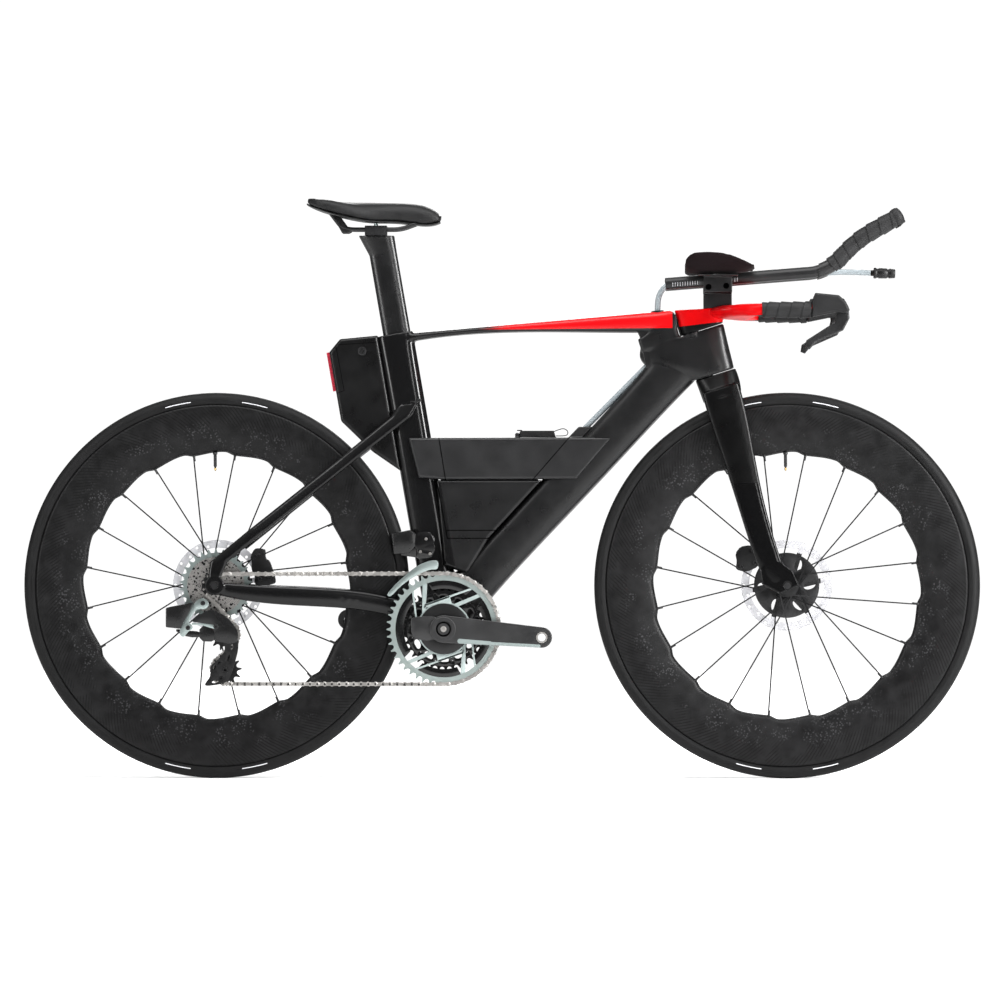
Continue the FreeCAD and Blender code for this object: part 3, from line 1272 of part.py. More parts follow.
fd_pins = [polar(BB, 134, angle) for angle in (104, 116)]
fd_cage = band(*FD_BAND, *FD_ARC, FD_IN, FD_IN + FD_PLATE_T).fuse([
    band(*FD_BAND, *FD_ARC, FD_OUT, FD_OUT + FD_PLATE_T),
    band(FD_BAND[1] - 3, 140, 98, 122, FD_IN, FD_IN + FD_PLATE_T),
    band(FD_BAND[1] - 3, FD_BAND[1], 95, 103, FD_OUT, FD_IN),
    band(FD_BAND[0] + 4, FD_BAND[1], 148.5, FD_ARC[1], FD_OUT, FD_IN)]
    + [disc(pin, FD_PIN_R, FD_IN, FD_BODY_Y + 8) for pin in fd_pins])
save("front_derailleur_cage", fd_cage.removeSplitter())
fd_body = slab(box_points([(-13, 128), (-13, 171), (-71, 171), (-76, 118), (-50, 113)]), FD_BODY_Y, -14)
fd_bores = [disc(pin, FD_PIN_R + FIT, FD_BODY_Y, FD_BODY_Y + 8 + 2 * FD_TRIM) for pin in fd_pins]
fd_body = largest(fd_body.cut(Part.makeCompound(fd_bores + [seat_tube])))
save("front_derailleur_body", fd_body)
fd_battery = slab(box_points([(-60, 134), (-60, 174), (-91, 170), (-91, 133)]), FD_BODY_Y + 2, -18)
fd_battery = largest(fd_battery.cut(Part.makeCompound([fd_body, seat_tube])))
save("derailleur_batteries", rear_battery, fd_battery)


# Drinking hose

HOSE_R = 5.0
HOSE_FOOT = (247.0, 352.0)      # on the hydration box, from the bottom bracket
HOSE_ROUTE = [(-58.4, 35), (-58.4, 49), (-57, 64), (-50.5, 77.5), (-39, 87), (-22.5, 91), (8, 89),
              (50, 88.5), (105, 93), (165, 99), (225, 106), (276, 108.5), (321, 106)]


hose_foot = near(BB, *HOSE_FOOT)
hose_head = head(HEAD_BOTTOM + 56, -80)
lower_hose = rod(vec(hose_foot[0], 0, hose_foot[1]), vec(hose_head[0], 0, hose_head[1]), HOSE_R)
save("hydration_hose_lower", largest(lower_hose.cut(Part.makeCompound([hydration, head_tube, down_tube]))))
hose_spots = [at_bar(*spot) for spot in HOSE_ROUTE]
upper_hose = bent_tube([vec(x, 0, z) for x, z in hose_spots], HOSE_R)
save("hydration_hose_upper", largest(upper_hose.cut(top_tube)))

VALVE_STATIONS = [(321, 5), (323, 9), (346, 8.5), (359, 5)]


def valve_ring(dx, radius):
    x, z = at_bar(dx, HOSE_ROUTE[-1][1])
    return Part.Wire(Part.makeCircle(radius, vec(x, 0, z), vec(1, 0, 0)))


save("bite_valve", Part.makeLoft([valve_ring(*station) for station in VALVE_STATIONS], True, True))
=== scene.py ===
"""Time trial bicycle: looks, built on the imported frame. Metres, +X forward, +Y left, +Z up."""
import math

import bmesh
import bpy
import numpy as np
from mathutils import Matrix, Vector
from mathutils.bvhtree import BVHTree


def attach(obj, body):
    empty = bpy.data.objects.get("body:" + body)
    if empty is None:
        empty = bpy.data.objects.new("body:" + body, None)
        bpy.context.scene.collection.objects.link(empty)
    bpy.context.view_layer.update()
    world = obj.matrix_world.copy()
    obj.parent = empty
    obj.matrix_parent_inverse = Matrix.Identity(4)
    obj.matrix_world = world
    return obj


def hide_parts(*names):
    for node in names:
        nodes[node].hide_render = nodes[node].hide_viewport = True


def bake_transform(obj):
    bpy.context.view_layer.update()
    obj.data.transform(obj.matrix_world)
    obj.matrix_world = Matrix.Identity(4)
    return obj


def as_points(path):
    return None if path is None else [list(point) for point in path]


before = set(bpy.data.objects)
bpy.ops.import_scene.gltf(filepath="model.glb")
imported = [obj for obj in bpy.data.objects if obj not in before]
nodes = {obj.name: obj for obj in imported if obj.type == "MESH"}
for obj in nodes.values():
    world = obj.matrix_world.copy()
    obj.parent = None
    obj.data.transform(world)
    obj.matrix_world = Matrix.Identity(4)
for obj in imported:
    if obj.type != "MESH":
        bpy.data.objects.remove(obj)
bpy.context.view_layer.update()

FRONT_AXLE = Vector((0.5015, 0, 0.339))
REAR_AXLE = Vector((-0.5015, 0, 0.339))
CRANK_AXIS = Vector((-0.1006, 0, 0.2634))
BAR_FOOT = Vector((0.33246, 0, 0.78200))      # top of the head tube, on the steering axis
SEAT_WAY = Vector((-0.170209, 0, 0.985408))


def at_bar(dx, dz, y=0.0):
    """Point from the top of the head tube, offsets in millimetres."""
    return BAR_FOOT + Vector((dx, y, dz)) / 1000


def seat_point(up, forward, y=0.0):
    """Point in the seat tube's own frame, in millimetres from the crank axis."""
    ahead = Vector((SEAT_WAY.z, 0, -SEAT_WAY.x))
    return CRANK_AXIS + (SEAT_WAY * up + ahead * forward + Vector((0, y, 0))) / 1000


# Shader helpers

def new_group(name, inputs, outputs):
    """Empty node group with float or vector sockets, given as (name, kind, value)."""
    group = bpy.data.node_groups.new(name, "ShaderNodeTree")
    for label, kind, value in inputs:
        socket = group.interface.new_socket(name=label, in_out="INPUT", socket_type=kind)
        socket.default_value = value
    for label, kind in outputs:
        group.interface.new_socket(name=label, in_out="OUTPUT", socket_type=kind)
    return group, group.nodes.new("NodeGroupInput"), group.nodes.new("NodeGroupOutput")


def put(tree, kind, *feeds, **settings):
    """New node with its properties set and its inputs fed, in order, by sockets or values."""
    node = tree.nodes.new(kind)
    for key, value in settings.items():
        setattr(node, key, value)
    for index, feed in enumerate(feeds):
        if isinstance(feed, bpy.types.NodeSocket):
            tree.links.new(feed, node.inputs[index])
        elif feed is not None:
            node.inputs[index].default_value = feed
    return node


def sums(tree, operation, *feeds, clamp=False):
    return put(tree, "ShaderNodeMath", *feeds, operation=operation, use_clamp=clamp).outputs[0]


def vectors(tree, operation, *feeds):
    node = put(tree, "ShaderNodeVectorMath", *feeds, operation=operation)
    return node.outputs["Value"] if operation in ("DOT_PRODUCT", "LENGTH") else node.outputs[0]


def spread(tree, value, low, high, to_low=0.0, to_high=1.0):
    node = put(tree, "ShaderNodeMapRange", value, low, high, to_low, to_high)
    return node.outputs[0]


def here(tree):
    return tree.nodes.new("ShaderNodeTexCoord").outputs["Object"]


# Studio

PHOTO_AIM = Vector((-0.003, 0, 0.4893))
PHOTO_EYE = PHOTO_AIM + Vector((0.244, -13.998, 0))
PHOTO_LENS = 286.6
LAMP_AIM = Vector((0, 0, 0.5))
LAMPS = (("softbox_top", (0.0, -0.9, 2.7), (3.0, 1.3), 74),
         ("softbox_front", (2.7, -1.5, 1.4), (0.5, 2.2), 170),
         ("softbox_strip", (2.0, -3.8, 1.2), (0.3, 2.0), 24),
         ("softbox_rear", (-2.6, -2.0, 1.3), (0.6, 2.2), 50),
         ("softbox_far", (0.2, 2.6, 1.8), (2.6, 1.0), 50))


def held(name, data):
    piece = bpy.data.objects.new(name, data)
    bpy.context.scene.collection.objects.link(piece)
    return piece


def aimed(name, data, spot, target):
    piece = held(name, data)
    piece.location = spot
    piece.rotation_euler = (target - Vector(spot)).to_track_quat("-Z", "Y").to_euler()
    return piece


def camera_ray(tree):
    return tree.nodes.new("ShaderNodeLightPath").outputs["Is Camera Ray"]


def paper_floor():
    """White floor: it glows for the camera, except close to the wheels, where shadows show."""
    mesh = bpy.data.meshes.new("studio_floor")
    bm = bmesh.new()
    bmesh.ops.create_circle(bm, cap_ends=True, radius=9.0, segments=96)
    bm.to_mesh(mesh)
    bm.free()
    paper = bpy.data.materials.new("floor_paper")
    paper.use_nodes = True
    tree = paper.node_tree
    bsdf = tree.nodes["Principled BSDF"]
    bsdf.inputs["Base Color"].default_value = (0.93, 0.93, 0.93, 1)
    bsdf.inputs["Roughness"].default_value = 0.9
    bsdf.inputs["Emission Color"].default_value = (1, 1, 1, 1)
    spot = put(tree, "ShaderNodeSeparateXYZ", tree.nodes.new("ShaderNodeNewGeometry").outputs["Position"])
    beyond = spread(tree, sums(tree, "ABSOLUTE", spot.outputs["Y"]), 0.1, 0.8)
    tree.links.new(sums(tree, "MULTIPLY", camera_ray(tree), beyond), bsdf.inputs["Emission Strength"])
    mesh.materials.append(paper)
    held("studio_floor", mesh)


def white_world():
    """Dark band near the horizon for the reflections, plain white for the camera."""
    world = bpy.data.worlds.new("studio_white")
    bpy.context.scene.world = world
    world.use_nodes = True
    tree = world.node_tree
    tree.nodes.clear()
    way = put(tree, "ShaderNodeSeparateXYZ", tree.nodes.new("ShaderNodeTexCoord").outputs["Generated"])
    ramp = put(tree, "ShaderNodeValToRGB", sums(tree, "MULTIPLY_ADD", way.outputs["Z"], 0.5, 0.5))
    stops = ramp.color_ramp.elements
    stops[0].position, stops[0].color = 0.46, (0.16, 0.16, 0.165, 1)
    stops[1].position, stops[1].color = 0.95, (0.7, 0.7, 0.7, 1)
    stops.new(0.56).color = (0.035, 0.035, 0.037, 1)
    soft = put(tree, "ShaderNodeBackground", ramp.outputs[0])
    plain = put(tree, "ShaderNodeBackground", (1, 1, 1, 1), 1.05)
    both = put(tree, "ShaderNodeMixShader", camera_ray(tree), soft.outputs[0], plain.outputs[0])
    put(tree, "ShaderNodeOutputWorld", both.outputs[0])


def studio():
    scene = bpy.context.scene
    scene.view_settings.view_transform = "Standard"
    scene.view_settings.look = "None"
    eye = bpy.data.cameras.new("photo_camera")
    eye.sensor_width = 36.0
    eye.lens = PHOTO_LENS
    eye.clip_end = 200.0
    scene.camera = aimed("photo_camera", eye, PHOTO_EYE, PHOTO_AIM)
    paper_floor()
    white_world()
    for name, spot, size, power in LAMPS:
        lamp = bpy.data.lights.new(name, "AREA")
        lamp.shape = "RECTANGLE"
        lamp.size, lamp.size_y = size
        lamp.energy = power
        aimed(name, lamp, spot, LAMP_AIM)


studio()


# Shader groups

FLOAT, VECTOR = "NodeSocketFloat", "NodeSocketVector"


def grain_group():
    """Moulded or painted skin: broad smudges in Tone, fine tooth in Height."""
    tree, given, out = new_group("fine_grain", [("Smudge", FLOAT, 30.0), ("Tooth", FLOAT, 900.0)],
                                 [("Tone", FLOAT), ("Height", FLOAT)])
    place = here(tree)
    smudge = put(tree, "ShaderNodeTexNoise", place)
    tooth = put(tree, "ShaderNodeTexNoise", place)
    for node, name, detail in ((smudge, "Smudge", 4.0), (tooth, "Tooth", 2.0)):
        tree.links.new(given.outputs[name], node.inputs["Scale"])
        node.inputs["Detail"].default_value = detail
    tree.links.new(spread(tree, smudge.outputs[0], 0.3, 0.7), out.inputs["Tone"])
    tree.links.new(tooth.outputs[0], out.inputs["Height"])
    return tree


def turned_group():
    """Metal turned or ground on a lathe about an axle: rings by radius."""
    tree, given, out = new_group("turned_rings", [("Centre", VECTOR, (0, 0, 0)), ("Rings", FLOAT, 1500.0)],
                                 [("Tone", FLOAT), ("Height", FLOAT)])
    arm = vectors(tree, "MULTIPLY", vectors(tree, "SUBTRACT", here(tree), given.outputs["Centre"]), (1, 0, 1))
    reach = sums(tree, "MULTIPLY", vectors(tree, "LENGTH", arm), given.outputs["Rings"])
    rings = put(tree, "ShaderNodeTexNoise", None, reach, noise_dimensions="1D")
    rings.inputs["Scale"].default_value = 1.0
    rings.inputs["Detail"].default_value = 3.0
    tree.links.new(spread(tree, rings.outputs[0], 0.3, 0.7), out.inputs["Tone"])
    tree.links.new(rings.outputs[0], out.inputs["Height"])
    return tree


def seam_group():
    """Mask along a straight seam between two side-view points."""
    tree, given, out = new_group("seam_line", [("From", VECTOR, (0, 0, 0)), ("To", VECTOR, (0, 0, 0)),
                                               ("Width", FLOAT, 0.001)], [("Mask", FLOAT)])
    flat = (1, 0, 1)
    start = vectors(tree, "MULTIPLY", given.outputs["From"], flat)
    run = vectors(tree, "SUBTRACT", vectors(tree, "MULTIPLY", given.outputs["To"], flat), start)
    arm = vectors(tree, "SUBTRACT", vectors(tree, "MULTIPLY", here(tree), flat), start)
    share = sums(tree, "DIVIDE", vectors(tree, "DOT_PRODUCT", arm, run),
                 vectors(tree, "DOT_PRODUCT", run, run), clamp=True)
    foot = put(tree, "ShaderNodeVectorMath", run, operation="SCALE")
    tree.links.new(share, foot.inputs["Scale"])
    gap = vectors(tree, "LENGTH", vectors(tree, "SUBTRACT", arm, foot.outputs[0]))
    tree.links.new(sums(tree, "LESS_THAN", gap, sums(tree, "MULTIPLY", given.outputs["Width"], 0.5)),
                   out.inputs["Mask"])
    return tree


def fade_group():
    """Mask that rises from 0 to 1 between two side-view points."""
    tree, given, out = new_group("paint_fade", [("From", VECTOR, (0, 0, 0)), ("To", VECTOR, (1, 0, 0))],
                                 [("Mask", FLOAT)])
    run = vectors(tree, "SUBTRACT", given.outputs["To"], given.outputs["From"])
    arm = vectors(tree, "SUBTRACT", here(tree), given.outputs["From"])
    share = sums(tree, "DIVIDE", vectors(tree, "DOT_PRODUCT", arm, run),
                 vectors(tree, "DOT_PRODUCT", run, run))
    tree.links.new(put(tree, "ShaderNodeMapRange", share, interpolation_type="SMOOTHSTEP").outputs[0],
                   out.inputs["Mask"])
    return tree


def radius_group():
    """Mask beyond a radius about an axle, seen from the side."""
    tree, given, out = new_group("beyond_radius", [("Centre", VECTOR, (0, 0, 0)), ("Radius", FLOAT, 0.1)],
                                 [("Mask", FLOAT)])
    arm = vectors(tree, "MULTIPLY", vectors(tree, "SUBTRACT", here(tree), given.outputs["Centre"]), (1, 0, 1))
    tree.links.new(sums(tree, "GREATER_THAN", vectors(tree, "LENGTH", arm), given.outputs["Radius"]),
                   out.inputs["Mask"])
    return tree


def weave_group():
    """Knitted cloth: crossing ribs at a pitch in metres."""
    tree, given, out = new_group("knit_weave", [("Pitch", FLOAT, 0.002)],
                                 [("Tone", FLOAT), ("Height", FLOAT)])
    split = put(tree, "ShaderNodeSeparateXYZ", here(tree))
    often = sums(tree, "DIVIDE", 2 * math.pi, given.outputs["Pitch"])
    ribs = []
    for first, second in (("X", "Z"), ("Y", "X")):
        along = sums(tree, "ADD", split.outputs[first], split.outputs[second])
        ribs.append(sums(tree, "SINE", sums(tree, "MULTIPLY", along, often)))
    raised = sums(tree, "MULTIPLY_ADD", sums(tree, "MULTIPLY", *ribs), 0.5, 0.5)
    tree.links.new(raised, out.inputs["Height"])
    tree.links.new(raised, out.inputs["Tone"])
    return tree


def wheel_place_group():
    """Radius in metres and angle in degrees about whichever wheel a point is on."""
    tree, _, out = new_group("wheel_place", [], [("Radius", FLOAT), ("Turn", FLOAT)])
    split = put(tree, "ShaderNodeSeparateXYZ", here(tree))
    x = sums(tree, "SUBTRACT", sums(tree, "ABSOLUTE", split.outputs["X"]), FRONT_AXLE.x)
    z = sums(tree, "SUBTRACT", split.outputs["Z"], FRONT_AXLE.z)
    flat = put(tree, "ShaderNodeCombineXYZ", x, None, z)
    tree.links.new(vectors(tree, "LENGTH", flat.outputs[0]), out.inputs["Radius"])
    tree.links.new(sums(tree, "DEGREES", sums(tree, "ARCTAN2", z, x)), out.inputs["Turn"])
    return tree


GRAIN, TURNED, SEAM, FADE = grain_group(), turned_group(), seam_group(), fade_group()
RADIUS, WHEEL_PLACE, WEAVE = radius_group(), wheel_place_group(), weave_group()


BUMP_DEPTH = 0.0003


class Finish:
    """A material in the making: its tree, its shader, and what feeds colour, roughness and height."""

    def __init__(self, name, dark, light, rough, metal=0.0, group=GRAIN, bump=0.15, specular=0.5,
                 **given):
        self.mat = bpy.data.materials.new(name)
        self.mat.use_nodes = True
        self.tree = self.mat.node_tree
        self.bsdf = self.tree.nodes["Principled BSDF"]
        self.bsdf.inputs["Metallic"].default_value = metal
        self.level = self.bsdf.inputs["Specular IOR Level"]
        self.level.default_value = specular
        skin = self.group(group, **given)
        self.tone, self.height = skin["Tone"], skin["Height"]
        self.colour = self.mixed(self.tone, dark, light)
        self.rough = spread(self.tree, self.tone, 0.0, 1.0, *rough)
        self.bump = put(self.tree, "ShaderNodeBump", bump, BUMP_DEPTH)
        self.wire()

    def group(self, group, **given):
        node = self.tree.nodes.new("ShaderNodeGroup")
        node.node_tree = group
        for key, value in given.items():
            node.inputs[key.capitalize()].default_value = tuple(value) if hasattr(value, "__len__") else value
        return node.outputs

    def mixed(self, mask, first, second):
        node = self.tree.nodes.new("ShaderNodeMix")
        node.data_type = "RGBA"
        for socket, value in ((node.inputs[0], mask), (node.inputs[6], first), (node.inputs[7], second)):
            if isinstance(value, bpy.types.NodeSocket):
                self.tree.links.new(value, socket)
            else:
                socket.default_value = (*value, 1) if hasattr(value, "__len__") else value
        return node.outputs[2]

    def over(self, mask, colour=None, rough=None):
        """Lay another colour, roughness, or both, where a mask is 1."""
        if colour is not None:
            self.colour = self.mixed(mask, self.colour, colour)
        if rough is not None:
            kept = sums(self.tree, "MULTIPLY", self.rough, sums(self.tree, "SUBTRACT", 1.0, mask))
            self.rough = sums(self.tree, "MULTIPLY_ADD", mask, rough, kept)
        self.wire()
        return self

    def dulled(self, mask):
        """Take the gloss away where a mask is 1."""
        before = self.level.links[0].from_socket if self.level.is_linked else self.level.default_value
        kept = sums(self.tree, "SUBTRACT", 1.0, mask)
        self.tree.links.new(sums(self.tree, "MULTIPLY", kept, before), self.level)

    def raised(self, height, amount):
        """Add a further height, in shares of the bump's depth."""
        self.height = sums(self.tree, "ADD", self.height, sums(self.tree, "MULTIPLY", height, amount))
        self.wire()
        return self

    def wire(self):
        link = self.tree.links.new
        link(self.colour, self.bsdf.inputs["Base Color"])
        link(self.rough, self.bsdf.inputs["Roughness"])
        link(self.height, self.bump.inputs["Height"])
        link(self.bump.outputs[0], self.bsdf.inputs["Normal"])

    def set(self, **sockets):
        for key, value in sockets.items():
            self.bsdf.inputs[key.replace("_", " ")].default_value = value
        return self


def grey(level):
    return (level, level, level * 1.04)


satin_black = Finish("satin_black_paint", grey(0.004), grey(0.007), (0.24, 0.30), specular=0.4)
gloss_black = Finish("gloss_black_paint", grey(0.004), grey(0.006), (0.10, 0.16), bump=0.03,
                     specular=0.3).set(Coat_Weight=0.3, Coat_Roughness=0.04)


def between(tree, value, low, high):
    return sums(tree, "MULTIPLY", sums(tree, "GREATER_THAN", value, low),
                sums(tree, "LESS_THAN", value, high))


def rim_finish():
    """Dark carbon: broken ply strokes that lean over the outer band, pale dimples further in."""
    made = Finish("rim_carbon", grey(0.004), grey(0.009), (0.36, 0.48), smudge=45.0, tooth=500.0,
                  specular=0.14)
    tree = made.tree
    place = made.group(WHEEL_PLACE)
    lean = sums(tree, "MULTIPLY_ADD", place["Turn"], 0.0052, sums(tree, "MULTIPLY", place["Radius"], 0.9))
    broken = put(tree, "ShaderNodeTexNoise", here(tree))
    broken.inputs["Scale"].default_value = 38.0
    wavering = sums(tree, "MULTIPLY_ADD", broken.outputs[0], 0.004, lean)
    comb = sums(tree, "FRACT", sums(tree, "DIVIDE", wavering, 0.0068))
    stroke = sums(tree, "LESS_THAN", comb, 0.3)
    band = spread(tree, place["Radius"], 0.262, 0.285)
    some = spread(tree, broken.outputs[0], 0.40, 0.52)
    made.over(sums(tree, "MULTIPLY", stroke, sums(tree, "MULTIPLY", band, some)), grey(0.0015), 0.55)
    cells = put(tree, "ShaderNodeTexVoronoi", here(tree))
    cells.inputs["Scale"].default_value = 240.0
    inner = spread(tree, place["Radius"], 0.292, 0.272)
    patch = spread(tree, broken.outputs[0], 0.5, 0.6)
    dimple = spread(tree, cells.outputs["Distance"], 0.42, 0.22)
    pit = sums(tree, "MULTIPLY", dimple, sums(tree, "MULTIPLY", inner, patch))
    made.over(sums(tree, "MULTIPLY", pit, 0.6), grey(0.05), 0.35)
    return made.raised(pit, -1.2)


def tyre_finish():
    """Black rubber with a fine tread tooth and thin pale arcs on the side wall."""
    made = Finish("tyre_rubber", grey(0.003), grey(0.006), (0.5, 0.66), bump=0.3, specular=0.16)
    tree = made.tree
    place = made.group(WHEEL_PLACE)
    line = between(tree, place["Radius"], 0.3243, 0.3257)
    size = sums(tree, "ABSOLUTE", place["Turn"])
    arcs = sums(tree, "MAXIMUM", between(tree, size, 74.0, 82.0), between(tree, size, 98.0, 106.0))
    return made.over(sums(tree, "MULTIPLY", line, arcs), grey(0.62), 0.6)


rim_carbon = rim_finish()
tyre_rubber = tyre_finish()
spoke_black = Finish("spoke_black", grey(0.01), grey(0.015), (0.3, 0.4), metal=0.6)
alloy_black = Finish("anodised_black", grey(0.012), grey(0.02), (0.3, 0.42), metal=0.5)
MINT = (0.36, 0.42, 0.41)


def rotor_finish():
    made = Finish("rotor_steel", grey(0.50), grey(0.64), (0.26, 0.40), metal=0.45, smudge=60.0)
    place = made.group(WHEEL_PLACE)
    return made.over(sums(made.tree, "LESS_THAN", place["Radius"], 0.0605), grey(0.012), 0.42)


def across(finish, above):
    """Mask of what lies further left than a Y plane."""
    split = put(finish.tree, "ShaderNodeSeparateXYZ", here(finish.tree))
    return sums(finish.tree, "GREATER_THAN", split.outputs["Y"], above)


rotor_steel = rotor_finish()
cog_steel = Finish("cog_steel", (0.40, 0.385, 0.37), (0.56, 0.54, 0.52), (0.24, 0.36), metal=1.0,
                   group=TURNED, centre=REAR_AXLE, bump=0.1)
# Dark spots on the cogs: painted shade, for the holes and for the gaps between teeth where the next cog's face
# lies in shadow.
shaded_gaps = put(cog_steel.tree, "ShaderNodeTexVoronoi", here(cog_steel.tree))
shaded_gaps.inputs["Scale"].default_value = 150.0
cog_steel.over(spread(cog_steel.tree, shaded_gaps.outputs["Distance"], 0.42, 0.30), grey(0.02), 0.5)
cog_steel.over(cog_steel.group(RADIUS, Centre=REAR_AXLE, Radius=0.0505)["Mask"], MINT, 0.34)
chain_steel = Finish("chain_steel", (0.22, 0.21, 0.20), (0.32, 0.31, 0.295), (0.34, 0.46), metal=0.6)
mint_alloy = Finish("mint_alloy", (0.28, 0.33, 0.32), (0.35, 0.41, 0.40), (0.28, 0.38), metal=0.85)
ring_alloy = Finish("ring_alloy", (0.34, 0.40, 0.385), (0.41, 0.47, 0.455), (0.28, 0.38), metal=0.85,
                    group=TURNED, centre=CRANK_AXIS, bump=0.06)
ring_alloy.over(across(ring_alloy, -0.0405), grey(0.008), 0.35)
spider_alloy = Finish("spider_alloy", grey(0.010), grey(0.016), (0.3, 0.4), metal=0.4)
spider_alloy.over(spider_alloy.group(RADIUS, Centre=CRANK_AXIS, Radius=0.0446)["Mask"], MINT, 0.32)
tape_black = Finish("grip_tape", grey(0.008), grey(0.015), (0.5, 0.64), bump=0.35, specular=0.2)
pad_knit = Finish("pad_knit", (0.002, 0.0012, 0.0014), (0.010, 0.005, 0.006), (0.6, 0.75), group=WEAVE,
                  bump=0.5, pitch=0.0022, specular=0.06).set(Sheen_Weight=0.02)
saddle_skin = Finish("saddle_skin", grey(0.005), grey(0.010), (0.42, 0.55), bump=0.35, specular=0.2)
moulded_black = Finish("moulded_black", grey(0.003), grey(0.007), (0.34, 0.46), bump=0.2, specular=0.25)
hose_milky = Finish("hose_milky", (0.19, 0.22, 0.235), (0.23, 0.26, 0.275), (0.3, 0.4), bump=0.02)
lamp_red = Finish("lamp_red", (0.32, 0.02, 0.035), (0.40, 0.03, 0.05), (0.12, 0.2), bump=0.05)


def seam_mask(finish, x1, z1, x2, z2, width):
    """Mask along a side-view line, in millimetres. Its width is in metres."""
    ends = {"From": (x1 / 1000, 0, z1 / 1000), "To": (x2 / 1000, 0, z2 / 1000)}
    return finish.group(SEAM, Width=width, **ends)["Mask"]


def seamed(finish, lines, width=0.0018):
    """Cut panel gaps into a finish along side-view lines."""
    for line in lines:
        gap = seam_mask(finish, *line, width)
        finish.over(gap, grey(0.001), 0.8)
        finish.dulled(gap)
    return finish


RED = (0.56, 0.002, 0.004)


def frame_finish():
    """Satin black in front, gloss behind the seat tube, red growing along the top tube."""
    made = Finish("frame_paint", grey(0.005), grey(0.008), (0.26, 0.33), bump=0.08, specular=0.26)
    tree = made.tree
    glossy = made.group(FADE, From=seat_point(0, 40), To=seat_point(0, 35))["Mask"]
    made.over(glossy, grey(0.004), 0.14)
    ahead = made.group(FADE, From=(-0.16, 0, 0), To=(0.09, 0, 0))["Mask"]
    streaks = put(tree, "ShaderNodeTexNoise", vectors(tree, "MULTIPLY", here(tree), (6, 60, 420)))
    streaks.inputs["Scale"].default_value = 1.0
    growing = sums(tree, "MULTIPLY_ADD", streaks.outputs[0], 0.9, sums(tree, "SUBTRACT", ahead, 0.95))
    strong = spread(tree, growing, 0.0, 0.35)
    upper = made.group(FADE, From=(0.07, 0, 0.7885), To=(0.069982, 0, 0.7905))["Mask"]
    behind = made.group(FADE, From=(0.301, 0, 0), To=(0.299, 0, 0))["Mask"]
    made.over(sums(tree, "MULTIPLY", strong, sums(tree, "MULTIPLY", upper, behind)), RED, 0.22)
    return seamed(made, [(-113, 521, -95, 422), (-95, 422, -22, 422), (-22, 422, 68, 521),
                         (-97.5, 436, -9, 436)])


frame_paint = frame_finish()
box_paint = seamed(Finish("box_paint", grey(0.009), grey(0.013), (0.30, 0.38), bump=0.08, specular=0.3),
                   [(-110, 599, -98, 524), (119, 599, 54, 524)])
fork_paint = Finish("fork_paint", grey(0.0015), grey(0.002), (0.26, 0.33), bump=0.06, specular=0.16)
fork_paint.over(fork_paint.group(FADE, From=(0, 0, 0.5193), To=(0, 0, 0.5187))["Mask"], grey(0.003), 0.09)
bar_paint = Finish("bar_paint", (0.50, 0.002, 0.003), RED, (0.3, 0.36), bump=0.02, specular=0.06)
bar_paint.over(bar_paint.group(FADE, From=(0.34683, 0, 0.7983), To=(0.34697, 0, 0.7971))["Mask"],
               grey(0.006), 0.2)


def bar_finish():
    """Dark bar with a printed scale of short pale ticks near its rear end."""
    made = Finish("bar_carbon", grey(0.006), grey(0.011), (0.32, 0.44), specular=0.3)
    tree = made.tree
    split = put(tree, "ShaderNodeSeparateXYZ", here(tree))
    pitch = sums(tree, "FRACT", sums(tree, "MULTIPLY", split.outputs["X"], 230.0))
    ticks = sums(tree, "LESS_THAN", pitch, 0.22)
    rear = sums(tree, "MAXIMUM", between(tree, split.outputs["X"], 0.298, 0.348),
                between(tree, split.outputs["X"], 0.407, 0.417))
    low = sums(tree, "SUBTRACT", split.outputs["Z"], sums(tree, "MULTIPLY", split.outputs["X"], 0.0772))
    printed = sums(tree, "MULTIPLY", sums(tree, "MULTIPLY", ticks, rear), between(tree, low, 0.8395, 0.8465))
    return made.over(printed, grey(0.4), 0.5)


bar_carbon = bar_finish()
crank_paint = Finish("crank_paint", grey(0.009), grey(0.015), (0.30, 0.40))
CRANK_STRIPE = (0.19, 0.225, 0.22)
for line in ((-72, 242.2, -20, 238.0, 0.0085), (-30, 238.6, 66, 233.4, 0.0062)):
    crank_paint.over(seam_mask(crank_paint, *line), CRANK_STRIPE, 0.3)
hood_rubber = Finish("hood_rubber", grey(0.006), grey(0.011), (0.46, 0.58), bump=0.3, specular=0.22)
tank_paint = seamed(Finish("tank_paint", grey(0.002), grey(0.004), (0.26, 0.33), bump=0.08, specular=0.24),
                    [(-291.9, 763.9, -276.7, 681.4), (-276.7, 681.4, -291.1, 676.4),
                     (-291.1, 761.8, -220.5, 766.4)], 0.001)
# Painted shade: near black with no gloss, standing in for the shade inside recesses and holes.
painted_shade_black = Finish("painted_shade_black", grey(0.0005), grey(0.001), (0.8, 0.9), specular=0.0)
brass = Finish("valve_brass", (0.55, 0.38, 0.14), (0.66, 0.47, 0.2), (0.25, 0.35), metal=1.0)

